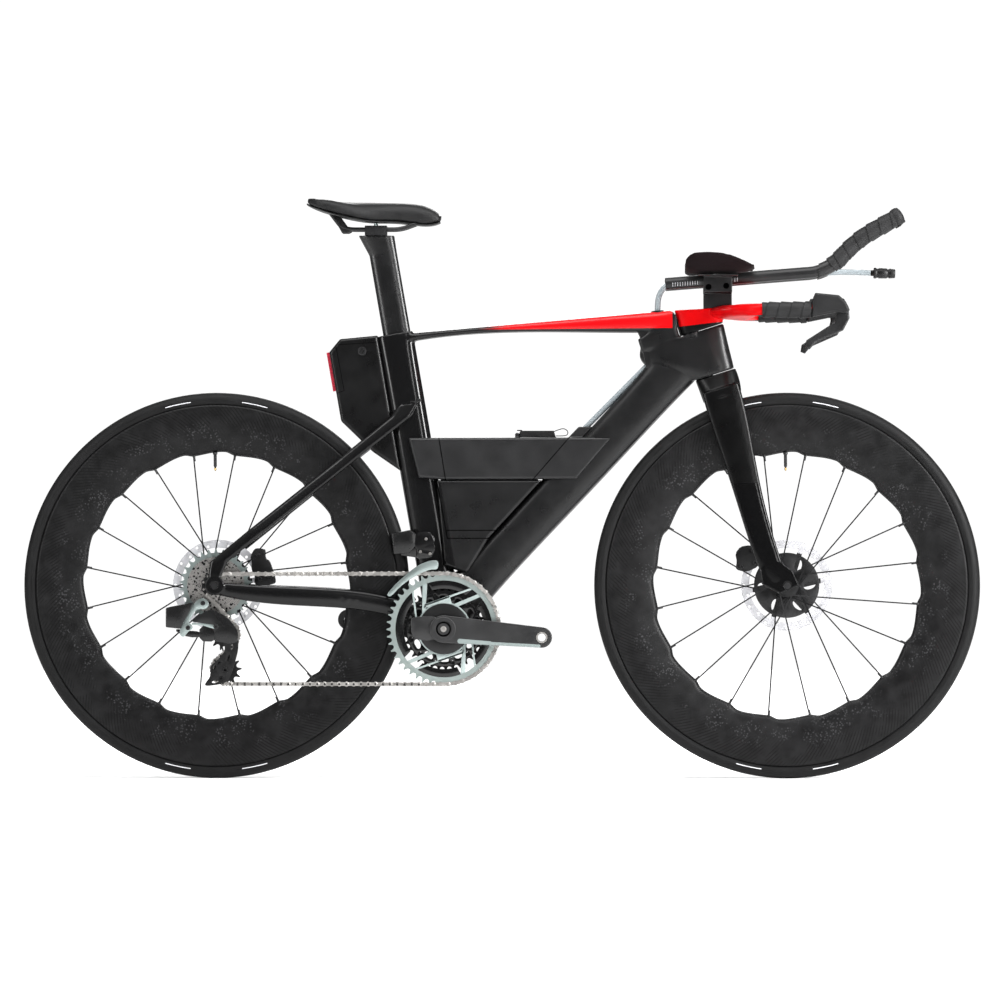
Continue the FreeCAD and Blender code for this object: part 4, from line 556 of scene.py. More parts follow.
dress = {
    satin_black: "head_tube top_tube down_tube storage_box hydration_box rear_tank seatpost",
    gloss_black: "seat_tube chain_stays seat_stays fork front_derailleur_body rear_derailleur_body"
                 " derailleur_batteries",
    rim_carbon: "front_rim rear_rim",
    tyre_rubber: "front_tyre rear_tyre",
    spoke_black: "front_spokes rear_spokes",
    alloy_black: "front_hub rear_hub front_axle rear_axle front_brake_caliper rear_brake_caliper"
                 " arm_rest_mount brake_lever_left brake_lever_right freehub_body saddle_clamp saddle_rails"
                 " extension_bars crank_arm_left crank_arm_right derailleur_cage brake_hoods",
    spider_alloy: "power_meter_spider",
    rotor_steel: "front_rotor rear_rotor",
    cog_steel: "cassette",
    chain_steel: "chain",
    ring_alloy: "chainrings",
    mint_alloy: "front_derailleur_cage",
    bar_paint: "base_bar",
    tape_black: "base_bar_tape extension_tape shift_button_left shift_button_right bite_valve",
    pad_knit: "arm_pads",
    saddle_skin: "saddle_pad",
    moulded_black: "guide_pulley tension_pulley refill_lid frame_bearings saddle_shell",
    hose_milky: "hydration_hose_lower hydration_hose_upper",
    lamp_red: "rear_light",
}
for finish, names in dress.items():
    for name in names.split():
        mesh = nodes[name].data
        mesh.materials.clear()
        mesh.materials.append(finish.mat)

# Piece making

def mesh_from(name, bm):
    mesh = bpy.data.meshes.new(name)
    bmesh.ops.recalc_face_normals(bm, faces=bm.faces[:])
    bm.to_mesh(mesh)
    bm.free()
    mesh.shade_smooth()
    return mesh


def shown(name, mesh, finish, body, *replaced):
    """Piece with its finish, riding on a body, and standing for the nodes it replaces."""
    piece = held(name, mesh)
    mesh.materials.clear()
    mesh.materials.append(finish.mat)
    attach(piece, body)
    if replaced:
        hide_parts(*replaced)
    return piece


def baked(piece):
    """Mesh of a piece with its modifiers applied. The piece itself goes."""
    graph = bpy.context.evaluated_depsgraph_get()
    mesh = bpy.data.meshes.new_from_object(piece.evaluated_get(graph))
    bpy.data.objects.remove(piece)
    mesh.shade_smooth()
    return mesh


def reskinned(name, names, voxel, rounds):
    """One skin, in millimetre voxels, over some nodes, with its edges softened."""
    bm = bmesh.new()
    for node in names.split():
        bm.from_mesh(nodes[node].data)
    bmesh.ops.remove_doubles(bm, verts=bm.verts[:], dist=1e-6)
    piece = held(name, mesh_from(name, bm))
    skin = piece.modifiers.new("skin", "REMESH")
    skin.mode = "VOXEL"
    skin.voxel_size = voxel / 1000
    soft = piece.modifiers.new("soft", "SMOOTH")
    soft.factor = 0.5
    soft.iterations = rounds
    return baked(piece)


def spots_of(mesh):
    spots = np.empty(len(mesh.vertices) * 3)
    mesh.vertices.foreach_get("co", spots)
    return spots.reshape(-1, 3)


def place_spots(mesh, spots):
    mesh.vertices.foreach_set("co", spots.ravel())
    mesh.update()


def normals_of(mesh):
    normals = np.empty(len(mesh.vertices) * 3)
    mesh.vertex_normals.foreach_get("vector", normals)
    return normals.reshape(-1, 3)


def lathe(bm, spot, way, profile, steps=24, hex_from=None):
    """Turned form from (along, radius) pairs in millimetres. Rings from hex_from on are six-sided."""
    way = Vector(way).normalized()
    side = way.orthogonal().normalized()
    other = way.cross(side)
    rings = []
    for index, (along, radius) in enumerate(profile):
        ring = []
        for step in range(steps):
            turn = 2 * math.pi * step / steps
            reach = radius / 1000
            if hex_from is not None and index >= hex_from:
                reach *= math.cos(math.pi / 6) / math.cos(turn % (math.pi / 3) - math.pi / 6)
            ring.append(bm.verts.new(Vector(spot) + way * along / 1000
                                     + (side * math.cos(turn) + other * math.sin(turn)) * reach))
        rings.append(ring)
    for first, second in zip(rings, rings[1:]):
        for step in range(steps):
            after = (step + 1) % steps
            bm.faces.new((first[step], first[after], second[after], second[step]))
    bm.faces.new(rings[0][::-1])
    bm.faces.new(rings[-1])


def screw(bm, spot, way, radius, height=2.5):
    """Socket screw head with a hexagon recess."""
    lathe(bm, spot, way, [(-1, radius), (height * 0.75, radius), (height, radius * 0.86),
                          (height, radius * 0.62), (height, radius * 0.55), (height * 0.2, radius * 0.5)],
          hex_from=4)


def wheel_form(name, centre, profile, steps, wave=None):
    """Closed ring about an axle from (y, r) points in millimetres. wave(turn, r) moves a point outwards."""
    bm = bmesh.new()
    rings = []
    for step in range(steps):
        turn = 2 * math.pi * step / steps
        ring = []
        for y, r in profile:
            reach = (r + (wave(math.degrees(turn), r) if wave else 0)) / 1000
            ring.append(bm.verts.new(centre + Vector((reach * math.cos(turn), y / 1000,
                                                      reach * math.sin(turn)))))
        rings.append(ring)
    for first, second in zip(rings, rings[1:] + rings[:1]):
        for index in range(len(profile)):
            after = (index + 1) % len(profile)
            bm.faces.new((first[index], second[index], second[after], first[after]))
    return mesh_from(name, bm)


SHARP_ANGLE = math.radians(40)


def lathed(name, finish, body, forms, *replaced):
    """Smooth piece of turned forms, each a lathe's arguments."""
    bm = bmesh.new()
    for form in forms:
        lathe(bm, *form)
    return shown(name, mesh_from(name, bm), finish, body, *replaced)


def turned_piece(name, finish, body, *forms):
    """Turned forms with sharp edges."""
    lathed(name, finish, body, forms).data.set_sharp_from_angle(angle=SHARP_ANGLE)


# Wheels

RIM_FLANGE_R, RIM_NOSE_R, RIM_W, NOSE_W = 316.5, 229.5, 27.0, 8.0


def eased(share):
    share = min(max(share, 0.0), 1.0)
    return share * share * (3 - 2 * share)


def rim_wave(turn, r):
    """Saw-toothed inner edge: one tooth at each spoke, fading out up the side."""
    share = (turn - SPOKE_TURN) * SPOKES / 360 % 1.0
    tooth = eased(share / 0.24) if share < 0.24 else 1 - eased((share - 0.24) / 0.76)
    depth = min(max((RIM_FLANGE_R - 22 - r) / 62, 0.0), 1.0)
    return 0.7 + 4.8 * tooth * depth ** 2


def rim_side():
    side = []
    for step in range(25):
        share = step / 24
        half = RIM_W / 2 + (NOSE_W - RIM_W) / 2 * share + RIM_W * 0.16 * 4 * share * (1 - share)
        if share > 0.9:
            half *= math.sqrt(max(1 - ((share - 0.9) / 0.1) ** 2, 0.0)) * 0.97 + 0.03
        side.append((half, RIM_FLANGE_R - (RIM_FLANGE_R - RIM_NOSE_R) * share))
    return side


def tyre_profile():
    bead, shoulder, top = 10.8, 316.8, 339.0
    rise = top - shoulder
    round_r = (bead ** 2 + rise ** 2) / (2 * rise)
    low = math.atan2(shoulder - (top - round_r), bead)
    points = []
    for step in range(41):
        turn = low + (math.pi - 2 * low) * step / 40
        grown = 0.0 if step in (6, 34) else -0.5 if step < 6 or step > 34 else -0.05
        points.append(((round_r + grown) * math.cos(turn),
                       top - round_r + (round_r + grown) * math.sin(turn)))
    return points + [(-bead + 3, 311.2), (bead - 3, 311.2)]


def outward(degrees):
    return Vector((math.cos(math.radians(degrees)), 0, math.sin(math.radians(degrees))))


SPOKES, SPOKE_TURN, VALVE_TURN = 20, 10, 90.7
NIPPLE = [(0, 1.3), (1, 1.9), (6, 2.0), (9, 2.6), (13, 2.6)]
VALVE = [(0, 4.2), (3.5, 4.0), (4, 2.9), (24, 2.9), (25, 2.2), (26, 2.2)]
VALVE_CORE = [(0, 1.6), (2, 1.6), (2.2, 2.3), (4.4, 2.3), (4.6, 1.2), (6.5, 1.2)]

for wheel, axle in (("front", FRONT_AXLE), ("rear", REAR_AXLE)):
    body = wheel + "_wheel"
    side = rim_side()
    bed = [(-11, RIM_FLANGE_R), (-11, 311.0), (11, 311.0), (11, RIM_FLANGE_R)]
    profile = bed + side + [(-y, r) for y, r in side[::-1]][1:]
    shown(wheel + "_rim_shell", wheel_form(wheel + "_rim_shell", axle, profile, 480, rim_wave),
          rim_carbon, body, wheel + "_rim")
    shown(wheel + "_tyre_casing", wheel_form(wheel + "_tyre_casing", axle, tyre_profile(), 300),
          tyre_rubber, body, wheel + "_tyre")
    nipples = []
    for index in range(SPOKES):
        out = outward(SPOKE_TURN + 360 / SPOKES * index)
        offset = Vector((0, -0.001 if index % 2 else 0.001, 0))
        nipples.append((axle + out * 0.2215 + offset, out, NIPPLE, 10))
    lathed(wheel + "_nipples", alloy_black, body, nipples)
    out = outward(VALVE_TURN)
    lathed(wheel + "_valve", alloy_black, body, [(axle + out * 0.234, -out, VALVE, 16)])
    lathed(wheel + "_valve_core", brass, body, [(axle + out * 0.208, -out, VALVE_CORE, 14)])


# Frame, fork and bars

def skinned(name, names, voxel, rounds, finish, body):
    shown(name, reskinned(name, names, voxel, rounds), finish, body, *names.split())


skinned("frame_shell", "head_tube top_tube down_tube seat_tube", 1.6, 18, frame_paint, "frame")
skinned("stay_shell", "chain_stays seat_stays", 1.5, 7, frame_paint, "frame")
skinned("storage_shell", "storage_box", 1.5, 4, frame_paint, "frame")
skinned("drink_box", "hydration_box", 1.2, 3, box_paint, "frame")
skinned("tail_tank", "rear_tank", 1.4, 16, tank_paint, "frame")
skinned("post_shell", "seatpost", 1.5, 3, satin_black, "seatpost")
skinned("fork_shell", "fork", 1.2, 6, fork_paint, "steering")
skinned("bar_shell", "base_bar", 1.1, 26, bar_paint, "steering")
skinned("extension_shell", "extension_bars", 1.0, 5, bar_carbon, "steering")
skinned("hood_rubber", "brake_hoods", 0.9, 14, hood_rubber, "steering")
for side in ("left", "right"):
    lever = "brake_lever_" + side
    skinned("lever_blade_" + side, lever, 0.7, 4, alloy_black, lever)
skinned("crank_right_shell", "crank_arm_right", 0.9, 4, crank_paint, "crank")
skinned("crank_left_shell", "crank_arm_left", 0.9, 4, crank_paint, "crank")
skinned("arm_bracket", "arm_rest_mount", 0.9, 2, alloy_black, "steering")


TAPE_T = 0.0019
GRIP_Z = 37.0


def wound(name, node, route, pitch, lift, finish, bare=0.0):
    """Tape skin over a node, with the steps of a strip wound along a route of points in metres.

    The first stretch, bare, is left as bar.
    """
    mesh = reskinned(name, node, 0.9, 5)
    spots, normals = spots_of(mesh), normals_of(mesh)
    untaped = np.zeros(len(spots), dtype=bool)
    for mirror in (1, -1):
        line = np.array([(p.x, p.y * mirror, p.z) for p in route])
        mine = np.sign(spots[:, 1]) == np.sign(line[0, 1])
        best = np.full(len(spots), 1e9)
        along = np.zeros(len(spots))
        turn = np.zeros(len(spots))
        start = 0.0
        for first, second in zip(line, line[1:]):
            run = second - first
            length = np.linalg.norm(run)
            way = run / length
            share = np.clip((spots - first) @ way, 0, length)
            arm = spots - first - share[:, None] * way
            gap = np.linalg.norm(arm, axis=1)
            up = np.cross(way, (0, 1, 0))
            nearer = gap < best
            best = np.where(nearer, gap, best)
            along = np.where(nearer, start + share, along)
            turn = np.where(nearer, np.arctan2(arm @ up, arm[:, 1]), turn)
            start += length
        step = (along / pitch - mirror * turn / (2 * math.pi)) % 1.0
        height = lift * (1 - step) * np.minimum(step / 0.06, 1.0) - lift * 0.4
        height = np.where(along < bare, -TAPE_T, height)
        untaped |= mine & (along < bare)
        spots += normals * (height * mine)[:, None]
    place_spots(mesh, spots)
    shown(name, mesh, finish, "steering", node)
    mesh.materials.append(bar_carbon.mat)
    for face in mesh.polygons:
        face.material_index = int(untaped[face.vertices[0]])


wound("grip_wrap", "base_bar_tape", [at_bar(x, GRIP_Z, 200) for x in (118, 212)], 0.021, 0.0018, tape_black)
wound("extension_wrap", "extension_tape",
      [at_bar(x, z, 52) for x, z in ((200, 105), (228, 108), (246, 116), (258, 128), (276, 147), (298, 167),
                                     (325, 183), (372, 209.5))], 0.024, 0.0018, tape_black, 0.048)


# Soft pieces

def plumped(piece, cap):
    """Swell a padded piece by a short cloth run with pressure. No point moves further than cap, in metres."""
    scene = bpy.context.scene
    rest = spots_of(piece.data)
    stuffing = piece.modifiers.new("stuffing", "CLOTH")
    stuffing.settings.use_pressure = True
    stuffing.settings.uniform_pressure_force = 4.0
    stuffing.settings.effector_weights.gravity = 0.0
    for step in range(1, 21):
        scene.frame_set(step)
    graph = bpy.context.evaluated_depsgraph_get()
    swollen = piece.evaluated_get(graph).to_mesh()
    moved = spots_of(swollen) - rest
    piece.evaluated_get(graph).to_mesh_clear()
    piece.modifiers.remove(stuffing)
    scene.frame_set(1)
    reach = np.linalg.norm(moved, axis=1)
    moved *= np.minimum(1.0, cap / np.maximum(reach, 1e-9))[:, None]
    place_spots(piece.data, rest + moved)


def padded(name, node, voxel, shrink, cap, finish, body):
    mesh = reskinned(name, node, voxel, 6)
    place_spots(mesh, spots_of(mesh) - normals_of(mesh) * shrink)
    piece = held(name, mesh)
    plumped(piece, cap)
    finer = piece.modifiers.new("finer", "SUBSURF")
    finer.levels = 1
    finer.render_levels = 1
    piece = shown(name, baked(piece), finish, body, node)


padded("arm_cushions", "arm_pads", 3.0, 0.0008, 0.0012, pad_knit, "steering")
padded("saddle_cushion", "saddle_pad", 3.0, 0.0008, 0.0012, saddle_skin, "seatpost")


# Drinking hose

def hose_line(name, route):
    curve = bpy.data.curves.new(name, "CURVE")
    curve.dimensions = "3D"
    curve.resolution_u = 16
    line = curve.splines.new("NURBS")
    line.points.add(len(route) - 1)
    for point, spot in zip(line.points, route):
        point.co = (*spot, 1)
    line.order_u = 3
    line.use_endpoint_u = True
    return curve


def hose(name, route, diameter):
    """Hose mesh along a smooth line, and the points of that line."""
    curve = hose_line(name, route)
    bare = held(name + "_line", curve)
    line = baked(bare)
    path = [tuple(v.co) for v in line.vertices]
    bpy.data.meshes.remove(line)
    curve.bevel_depth = diameter / 2
    curve.bevel_resolution = 5
    curve.use_fill_caps = True
    return baked(held(name, curve)), path


HOSE_D = 0.010
UPPER_ROUTE = ((-58.4, 38), (-58.4, 49), (-57, 64), (-50.5, 77.5), (-39, 87), (-22.5, 91), (8, 89), (50, 88.5),
               (105, 93), (165, 99), (225, 106), (276, 108.5), (321, 106))
mesh, path = hose("upper_hose", [at_bar(x, z) for x, z in UPPER_ROUTE], HOSE_D)
mesh.materials.append(hose_milky.mat)
upper_hose = held("upper_hose", mesh)
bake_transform(upper_hose)
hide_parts("hydration_hose_upper")
BITE_VALVE = [(0, 5.2), (4.9, 5.4), (5, 9.0), (6.5, 9.6), (9, 9.6), (10.5, 8.4), (13, 8.2), (14, 9.3),
              (28, 9.0), (29, 7.8), (31, 7.6), (32, 8.8), (42, 8.0), (43, 7.0), (43.2, 3.0), (38, 2.5)]
valve = lathed("bite_valve_body", moulded_black, "steering",
               [(at_bar(316, 106.2), (1, 0, -0.03), BITE_VALVE, 32)], "bite_valve")
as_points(path)
foot, top = Vector((0.1464, 0, 0.6154)), Vector((0.2638, 0, 0.7336))
lower_route = [foot.lerp(top, share) for share in (0.0, 0.25, 0.5, 0.75, 1.0)]
mesh, path = hose("lower_hose", lower_route, HOSE_D)
lower_hose = shown("lower_hose", mesh, hose_milky, "frame", "hydration_hose_lower")
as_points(path)


# Chain: split into an upper run and a lower run through the derailleur cage

HALF_PITCH = 0.00635


def islands(bm):
    """Lists of joined vertices."""
    bm.verts.ensure_lookup_table()
    seen = set()
    for seed in bm.verts:
        if seed.index in seen:
            continue
        seen.add(seed.index)
        found, edge = [seed], [seed]
        while edge:
            vert = edge.pop()
            for link in vert.link_edges:
                other = link.other_vert(vert)
                if other.index not in seen:
                    seen.add(other.index)
                    found.append(other)
                    edge.append(other)
        yield found


def chain_part(name, lower):
    """Chain links on one side of the split between the cassette and the cage."""
    bm = bmesh.new()
    bm.from_mesh(nodes["chain"].data)
    bmesh.ops.remove_doubles(bm, verts=bm.verts[:], dist=1e-6)
    bm.verts.index_update()
    gone = []
    for link in islands(bm):
        middle = sum((v.co for v in link), Vector()) / len(link)
        low_run = middle.z < 0.240 and middle.x < -0.135
        if low_run != lower:
            gone += link
    bmesh.ops.delete(bm, geom=gone, context="VERTS")
    plates = len(bm.faces)
    for link in list(islands(bm)):
        spots = [v.co for v in link]
        middle = sum(spots, Vector()) / len(spots)
        far = max(spots, key=lambda c: math.hypot(c.x - middle.x, c.z - middle.z))
        along = Vector((far.x - middle.x, 0, far.z - middle.z)).normalized() * HALF_PITCH
        # Dark discs at each pin end: painted shade of the pin holes.
        for side in (min, max):
            face = side(c.y for c in spots)
            for end in (middle - along, middle + along):
                lathe(bm, (end.x, face, end.z), (0, -1 if side is min else 1, 0),
                      [(-0.3, 1.9), (0.15, 1.9)], 10)
    mesh = mesh_from(name, bm)
    mesh.set_sharp_from_angle(angle=math.radians(35))
    mesh.materials.append(chain_steel.mat)
    mesh.materials.append(spoke_black.mat)
    for face in mesh.polygons[plates:]:
        face.material_index = 1
    return mesh


upper_chain = held("chain_upper", chain_part("chain_upper", False))
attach(upper_chain, "frame")
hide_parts("chain")
lower_chain = held("chain_lower", chain_part("chain_lower", True))
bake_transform(lower_chain)
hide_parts("chain")


# Flat and bolted pieces

def rounded(points, rounds=2):
    """Outline with its corners cut, so that it runs smooth."""
    for _ in range(rounds):
        points = [(a[0] * (1 - t) + b[0] * t, a[1] * (1 - t) + b[1] * t)
                  for a, b in zip(points, points[1:] + points[:1]) for t in (0.22, 0.78)]
    return points


def arc(x, z, radius, start=0.0, end=360.0, steps=24):
    turns = [math.radians(start + (end - start) * n / steps) for n in range(steps + (abs(end - start) < 360))]
    return [(x + radius * math.cos(t), z + radius * math.sin(t)) for t in turns]


def oval(x, z, long_half, short_half, lean, steps=16):
    c, s = math.cos(math.radians(lean)), math.sin(math.radians(lean))
    return [(x + c * a * long_half - s * b * short_half, z + s * a * long_half + c * b * short_half)
            for a, b in arc(0, 0, 1, steps=steps)]


def plate(bm, loops, y_near, y_far):
    """Flat plate from side-view outlines in millimetres: its edge first, then its holes."""
    sides = []
    for y in (y_near, y_far):
        rings = [[bm.verts.new((x / 1000, y / 1000, z / 1000)) for x, z in loop] for loop in loops]
        edges = [bm.edges.new(pair) for ring in rings for pair in zip(ring, ring[1:] + ring[:1])]
        bmesh.ops.triangle_fill(bm, use_beauty=True, edges=edges, normal=(0, 1, 0))
        sides.append(rings)
    for near, far in zip(*sides):
        for a, b, c, d in zip(near, near[1:] + near[:1], far[1:] + far[:1], far):
            bm.faces.new((a, b, c, d))


def cut_piece(name, finish, body, plates, edge, *replaced):
    """Piece cut from plates, with its edges broken by edge millimetres."""
    bm = bmesh.new()
    for loops, y_near, y_far in plates:
        plate(bm, loops, y_near, y_far)
    piece = held(name, mesh_from(name, bm))
    broken = piece.modifiers.new("broken_edges", "BEVEL")
    broken.width = edge / 1000
    broken.segments = 2
    broken.limit_method = "ANGLE"
    broken.angle_limit = SHARP_ANGLE
    mesh = baked(piece)
    mesh.set_sharp_from_angle(angle=SHARP_ANGLE)
    shown(name, mesh, finish, body, *replaced)


def side_y(x, z, *names):
    """Where a line from the right meets some pieces, in metres along Y."""
    best = None
    for name in names:
        mesh = bpy.data.objects[name].data if name in bpy.data.objects else nodes[name].data
        bm = bmesh.new()
        bm.from_mesh(mesh)
        hit = BVHTree.FromBMesh(bm).ray_cast(Vector((x / 1000, -1, z / 1000)), Vector((0, 1, 0)))[0]
        bm.free()
        if hit is not None and (best is None or hit.y < best):
            best = hit.y
    return best


def side_screws(name, finish, body, spots, carriers, radius, height=1.8):
    """Socket screws on the right face of some pieces, at side-view places in millimetres."""
    bm = bmesh.new()
    for x, z in spots:
        y = side_y(x, z, *carriers)
        if y is not None:
            screw(bm, (x / 1000, y, z / 1000), (0, -1, 0), radius, height)
    mesh = mesh_from(name, bm)
    mesh.set_sharp_from_angle(angle=SHARP_ANGLE)
    shown(name, mesh, finish, body)


BX, BZ = CRANK_AXIS.x * 1000, CRANK_AXIS.z * 1000


def ring_plate(name, start, end):
    """Dark web between two struts of the large ring."""
    loop = arc(BX, BZ, 85.4, start, end, 20) + arc(BX, BZ, 70.5, end - 2, start + 2, 20)
    cut_piece(name, gloss_black, "crank", [([loop], -44.6, -42.8)], 0.4)


for index, (start, end) in enumerate(((131.5, 216), (54.7, 109), (-48, 36.5), (-124, -69))):
    ring_plate("ring_web_%d" % index, start, end)

lattice_holes = [oval(*spot, 8.6, 5.2, turn + 78) for turn in range(0, 360, 30)
                 for spot in arc(BX, BZ, 53.6, turn, turn + 1, 1)[:1]]
small_holes = [oval(*spot, 3.4, 2.6, turn) for turn in range(15, 375, 30)
               for spot in arc(BX, BZ, 60.6, turn, turn + 1, 1)[:1]]
cut_piece("small_ring_web", gloss_black, "crank",
          [([arc(BX, BZ, 65.5, steps=60), arc(BX, BZ, 44.6, steps=48)] + lattice_holes + small_holes,
            -40.0, -38.2)], 0.3)

# power meter spider: disc, rim and two pairs of struts, the same again half a turn on
def strut(x1, z1, x2, z2, half_1, half_2):
    """Tapered bar between two points, in millimetres from the crank axis."""
    length = math.hypot(x2 - x1, z2 - z1)
    a, b = -(z2 - z1) / length, (x2 - x1) / length
    return [(x1 + a * half_1, z1 + b * half_1), (x2 + a * half_2, z2 + b * half_2),
            (x2 - a * half_2, z2 - b * half_2), (x1 - a * half_1, z1 - b * half_1)]


STRUTS = [strut(-54.7, 67.1, -48.5, 18.0, 1.6, 1.6), strut(-33.2, 79.4, -35.7, 20.0, 4.2, 2.6),
          strut(-33.9, 41.3, 50.3, 70.9, 1.7, 1.7), strut(20.0, 40.8, 66.0, 60.3, 3.4, 3.0),
          [(-36, 36), (-34, 43), (10, 58), (14, 44), (-12, 43)]]
spider_plates = [([arc(BX, BZ, 44.2, steps=72), arc(BX, BZ, 14, steps=36)], -49.5, -40.5),
                 ([arc(BX, BZ, 47, steps=72), arc(BX, BZ, 43, steps=72)], -45.0, -41.0)]
for turn in (1, -1):
    spider_plates += [([[(BX + turn * x, BZ + turn * z) for x, z in loop]], -45.2, -41.0) for loop in STRUTS]
cut_piece("spider_pinwheel", spider_alloy, "crank", spider_plates, 0.4, "power_meter_spider")

# crank arms: tail, cap, bolt and pedal eye
TAIL = rounded([(-158.2, 280), (-152.4, 284.5), (-120.9, 286.2), (-112.4, 283.2), (-112.4, 247),
                (-125.2, 243.1), (-138, 243.5), (-146.5, 246.5), (-157.1, 251.2)], 1)
cut_piece("crank_tail", crank_paint, "crank", [([TAIL], -69.0, -56.5)], 1.6)
for side, face in (("right", -72.5), ("left", 72.5)):
    out = (0, math.copysign(1, face), 0)
    hub = (CRANK_AXIS.x, face / 1000, CRANK_AXIS.z)
    turned_piece("crank_cap_" + side, crank_paint, "crank",
                 (hub, out, [(-1.5, 21.2), (0.5, 21.2), (1.1, 20.5), (1.1, 14.8), (-0.6, 13.4),
                             (-0.8, 1.0)], 48))
    # The cap's dish takes the painted shade black, for the shade in its recess.
    turned_piece("crank_cap_dish_" + side, painted_shade_black, "crank",
                 (hub, out, [(-0.9, 13.3), (0.1, 13.2), (0.3, 11.0), (-0.2, 9.8), (-0.4, 1.0)], 40))
    turned_piece("crank_bolt_" + side, chain_steel, "crank",
                 (hub, out, [(-0.9, 5.2), (1.0, 5.2), (1.4, 4.4), (1.4, 3.4), (0.2, 3.0)], 24, 3))
eye = (BX + 172.5 * math.cos(math.radians(4.87)), BZ - 172.5 * math.sin(math.radians(4.87)))
far_eye = (2 * BX - eye[0], 2 * BZ - eye[1])
for name, spot, y in (("pedal_eye_right", eye, -72.5), ("pedal_eye_left", far_eye, 72.5)):
    cut_piece(name, chain_steel, "crank", [([arc(*spot, 9.8, steps=36), arc(*spot, 7.6, steps=30)],
                                            y - 0.5, y + 0.5)], 0.15)

# front derailleur: two cage plates with a tail bridge, a body with links
FD_CAGE = rounded([(-200.8, 324.1), (-182.7, 344.6), (-167.8, 357.3), (-152.9, 370.1), (-138, 378.7),
                   (-120.9, 383.8), (-111.3, 382.9), (-109.6, 375.9), (-112.4, 367.4), (-124.1, 367.4),
                   (-140.1, 361.6), (-159.3, 351), (-176.3, 338.2), (-192.3, 321.1), (-197.6, 320.3)], 1)
FD_BRIDGE = [(-200.5, 323.5), (-196, 328.5), (-192.5, 325), (-196.5, 320.6)]
FD_TOP = [(-138, 377), (-118, 382), (-117, 379.4), (-137, 374.4)]
cut_piece("front_cage_plate", mint_alloy, "front_derailleur_cage",
          [([FD_CAGE], -52.2, -50.6)], 0.5, "front_derailleur_cage")
cut_piece("front_cage_inner", gloss_black, "front_derailleur_cage",
          [([FD_CAGE], -31.4, -29.8), ([FD_BRIDGE], -50.8, -31.2), ([FD_TOP], -50.8, -31.2)], 0.4)
FD_BODY = rounded([(-149.7, 428.1), (-146.5, 432.4), (-127.3, 434.5), (-116.6, 423.8), (-118.3, 413.2),
                   (-115.4, 404.7), (-120.9, 391.9), (-125.2, 386), (-149.7, 386), (-146.9, 400.4),
                   (-152.4, 408.9)], 1)
FD_FOOT = [(-176, 392), (-148, 388), (-148, 428), (-176, 424)]
FD_LINK = rounded([(-147, 403), (-123, 400), (-119.5, 394), (-124, 389.5), (-147, 394)], 1)
cut_piece("front_derailleur_shell", gloss_black, "frame",
          [([FD_BODY], -36.4, -14.2), ([FD_FOOT], -30.0, -14.2), ([FD_LINK], -39.0, -36.2)], 1.2,
          "front_derailleur_body")
side_screws("front_derailleur_screws", chain_steel, "frame", [(-142, 398.5), (-125, 395), (-132, 421)],
            ["front_derailleur_shell"], 2.6)

# rear derailleur: link, rod, knuckle, motor and lower arm on the frame; plates on the cage
LINK = rounded([(-532.4, 312.7), (-521.5, 318.8), (-511.4, 313.1), (-510.1, 304.7), (-516.4, 298.4),
                (-525.3, 298.9), (-533.5, 297.8), (-546.1, 274.5), (-539.2, 271.1), (-538.5, 264.1),
                (-544.4, 260.8), (-554.9, 248.8), (-561, 253.6), (-560.6, 264.1), (-557.7, 274.5),
                (-545.3, 294.6)], 2)
ROD = [(-540, 274.5), (-522.5, 274), (-499.6, 270.7), (-496.7, 266.9), (-501.5, 264.1), (-522.5, 270.7),
       (-540, 271.1)]
KNUCKLE = rounded([(-532, 286), (-509.1, 298.4), (-497.7, 294.6), (-476.7, 283.1), (-463.3, 266.9),
                   (-458.6, 253.6), (-460.5, 240.5), (-476.7, 238), (-488.1, 241), (-499.6, 241.3),
                   (-501.5, 265), (-520.6, 274.5), (-540.6, 275.5)], 2)
MOTOR = rounded([(-527, 268.8), (-501.5, 268.1), (-499.6, 257.4), (-500.3, 241.5), (-526.3, 242.4)], 1)
LOWER_ARM = rounded([(-568.2, 264.1), (-551.1, 261.2), (-526.3, 259.3), (-520, 249.7), (-545.3, 248.8),
                     (-567.3, 258.3)], 1)
HANGER = arc(-520.5, 309, 8.0)
cut_piece("rear_derailleur_shell", satin_black, "frame",
          [([KNUCKLE], -96.6, -86.5), ([MOTOR], -95.5, -74.5), ([LOWER_ARM], -92.0, -80.0),
           ([HANGER], -95.6, -74.2)], 1.4, "rear_derailleur_body")
cut_piece("rear_derailleur_link", mint_alloy, "frame", [([LINK], -98.4, -95.4), ([ROD], -98.0, -95.8)], 0.7)
side_screws("rear_derailleur_screws", alloy_black, "frame", [(-520.5, 309), (-546.5, 266), (-498, 268)],
            ["rear_derailleur_link", "rear_derailleur_shell"], 4.2)
CAGE = rounded([(-479.6, 271.7), (-469.1, 266.9), (-459.2, 248.8), (-459.2, 226.9), (-465.6, 203),
                (-474.4, 175.4), (-486.2, 167.4), (-515, 163.4), (-519, 166.6), (-507.2, 182.1),
                (-509.5, 198.3), (-493.9, 210.7), (-482.4, 226.9), (-484.3, 238.3), (-493.9, 245.9),
                (-492, 265)], 2)
CAGE_HOLES = [oval(-476.3, 212.6, 6.2, 2.2, 76), oval(-493, 204.6, 3.0, 2.4, 30),
              oval(-501, 196.4, 4.2, 2.4, 60), oval(-489.6, 178, 3.8, 2.8, 15),
              oval(-500, 171.2, 5.6, 1.9, 8), oval(-470.5, 232, 5.5, 1.8, 84)]
CAGE_INNER = rounded([(-484, 262), (-474, 262), (-469, 250), (-470, 225), (-474, 200), (-478, 184),
                      (-490, 178), (-496, 190), (-490, 205), (-480, 225), (-487, 245)], 2)
cut_piece("rear_cage_plates", moulded_black, "derailleur_cage",
          [([CAGE] + CAGE_HOLES, -84.4, -82.4), ([CAGE_INNER], -60.2, -58.6)], 0.5, "derailleur_cage")
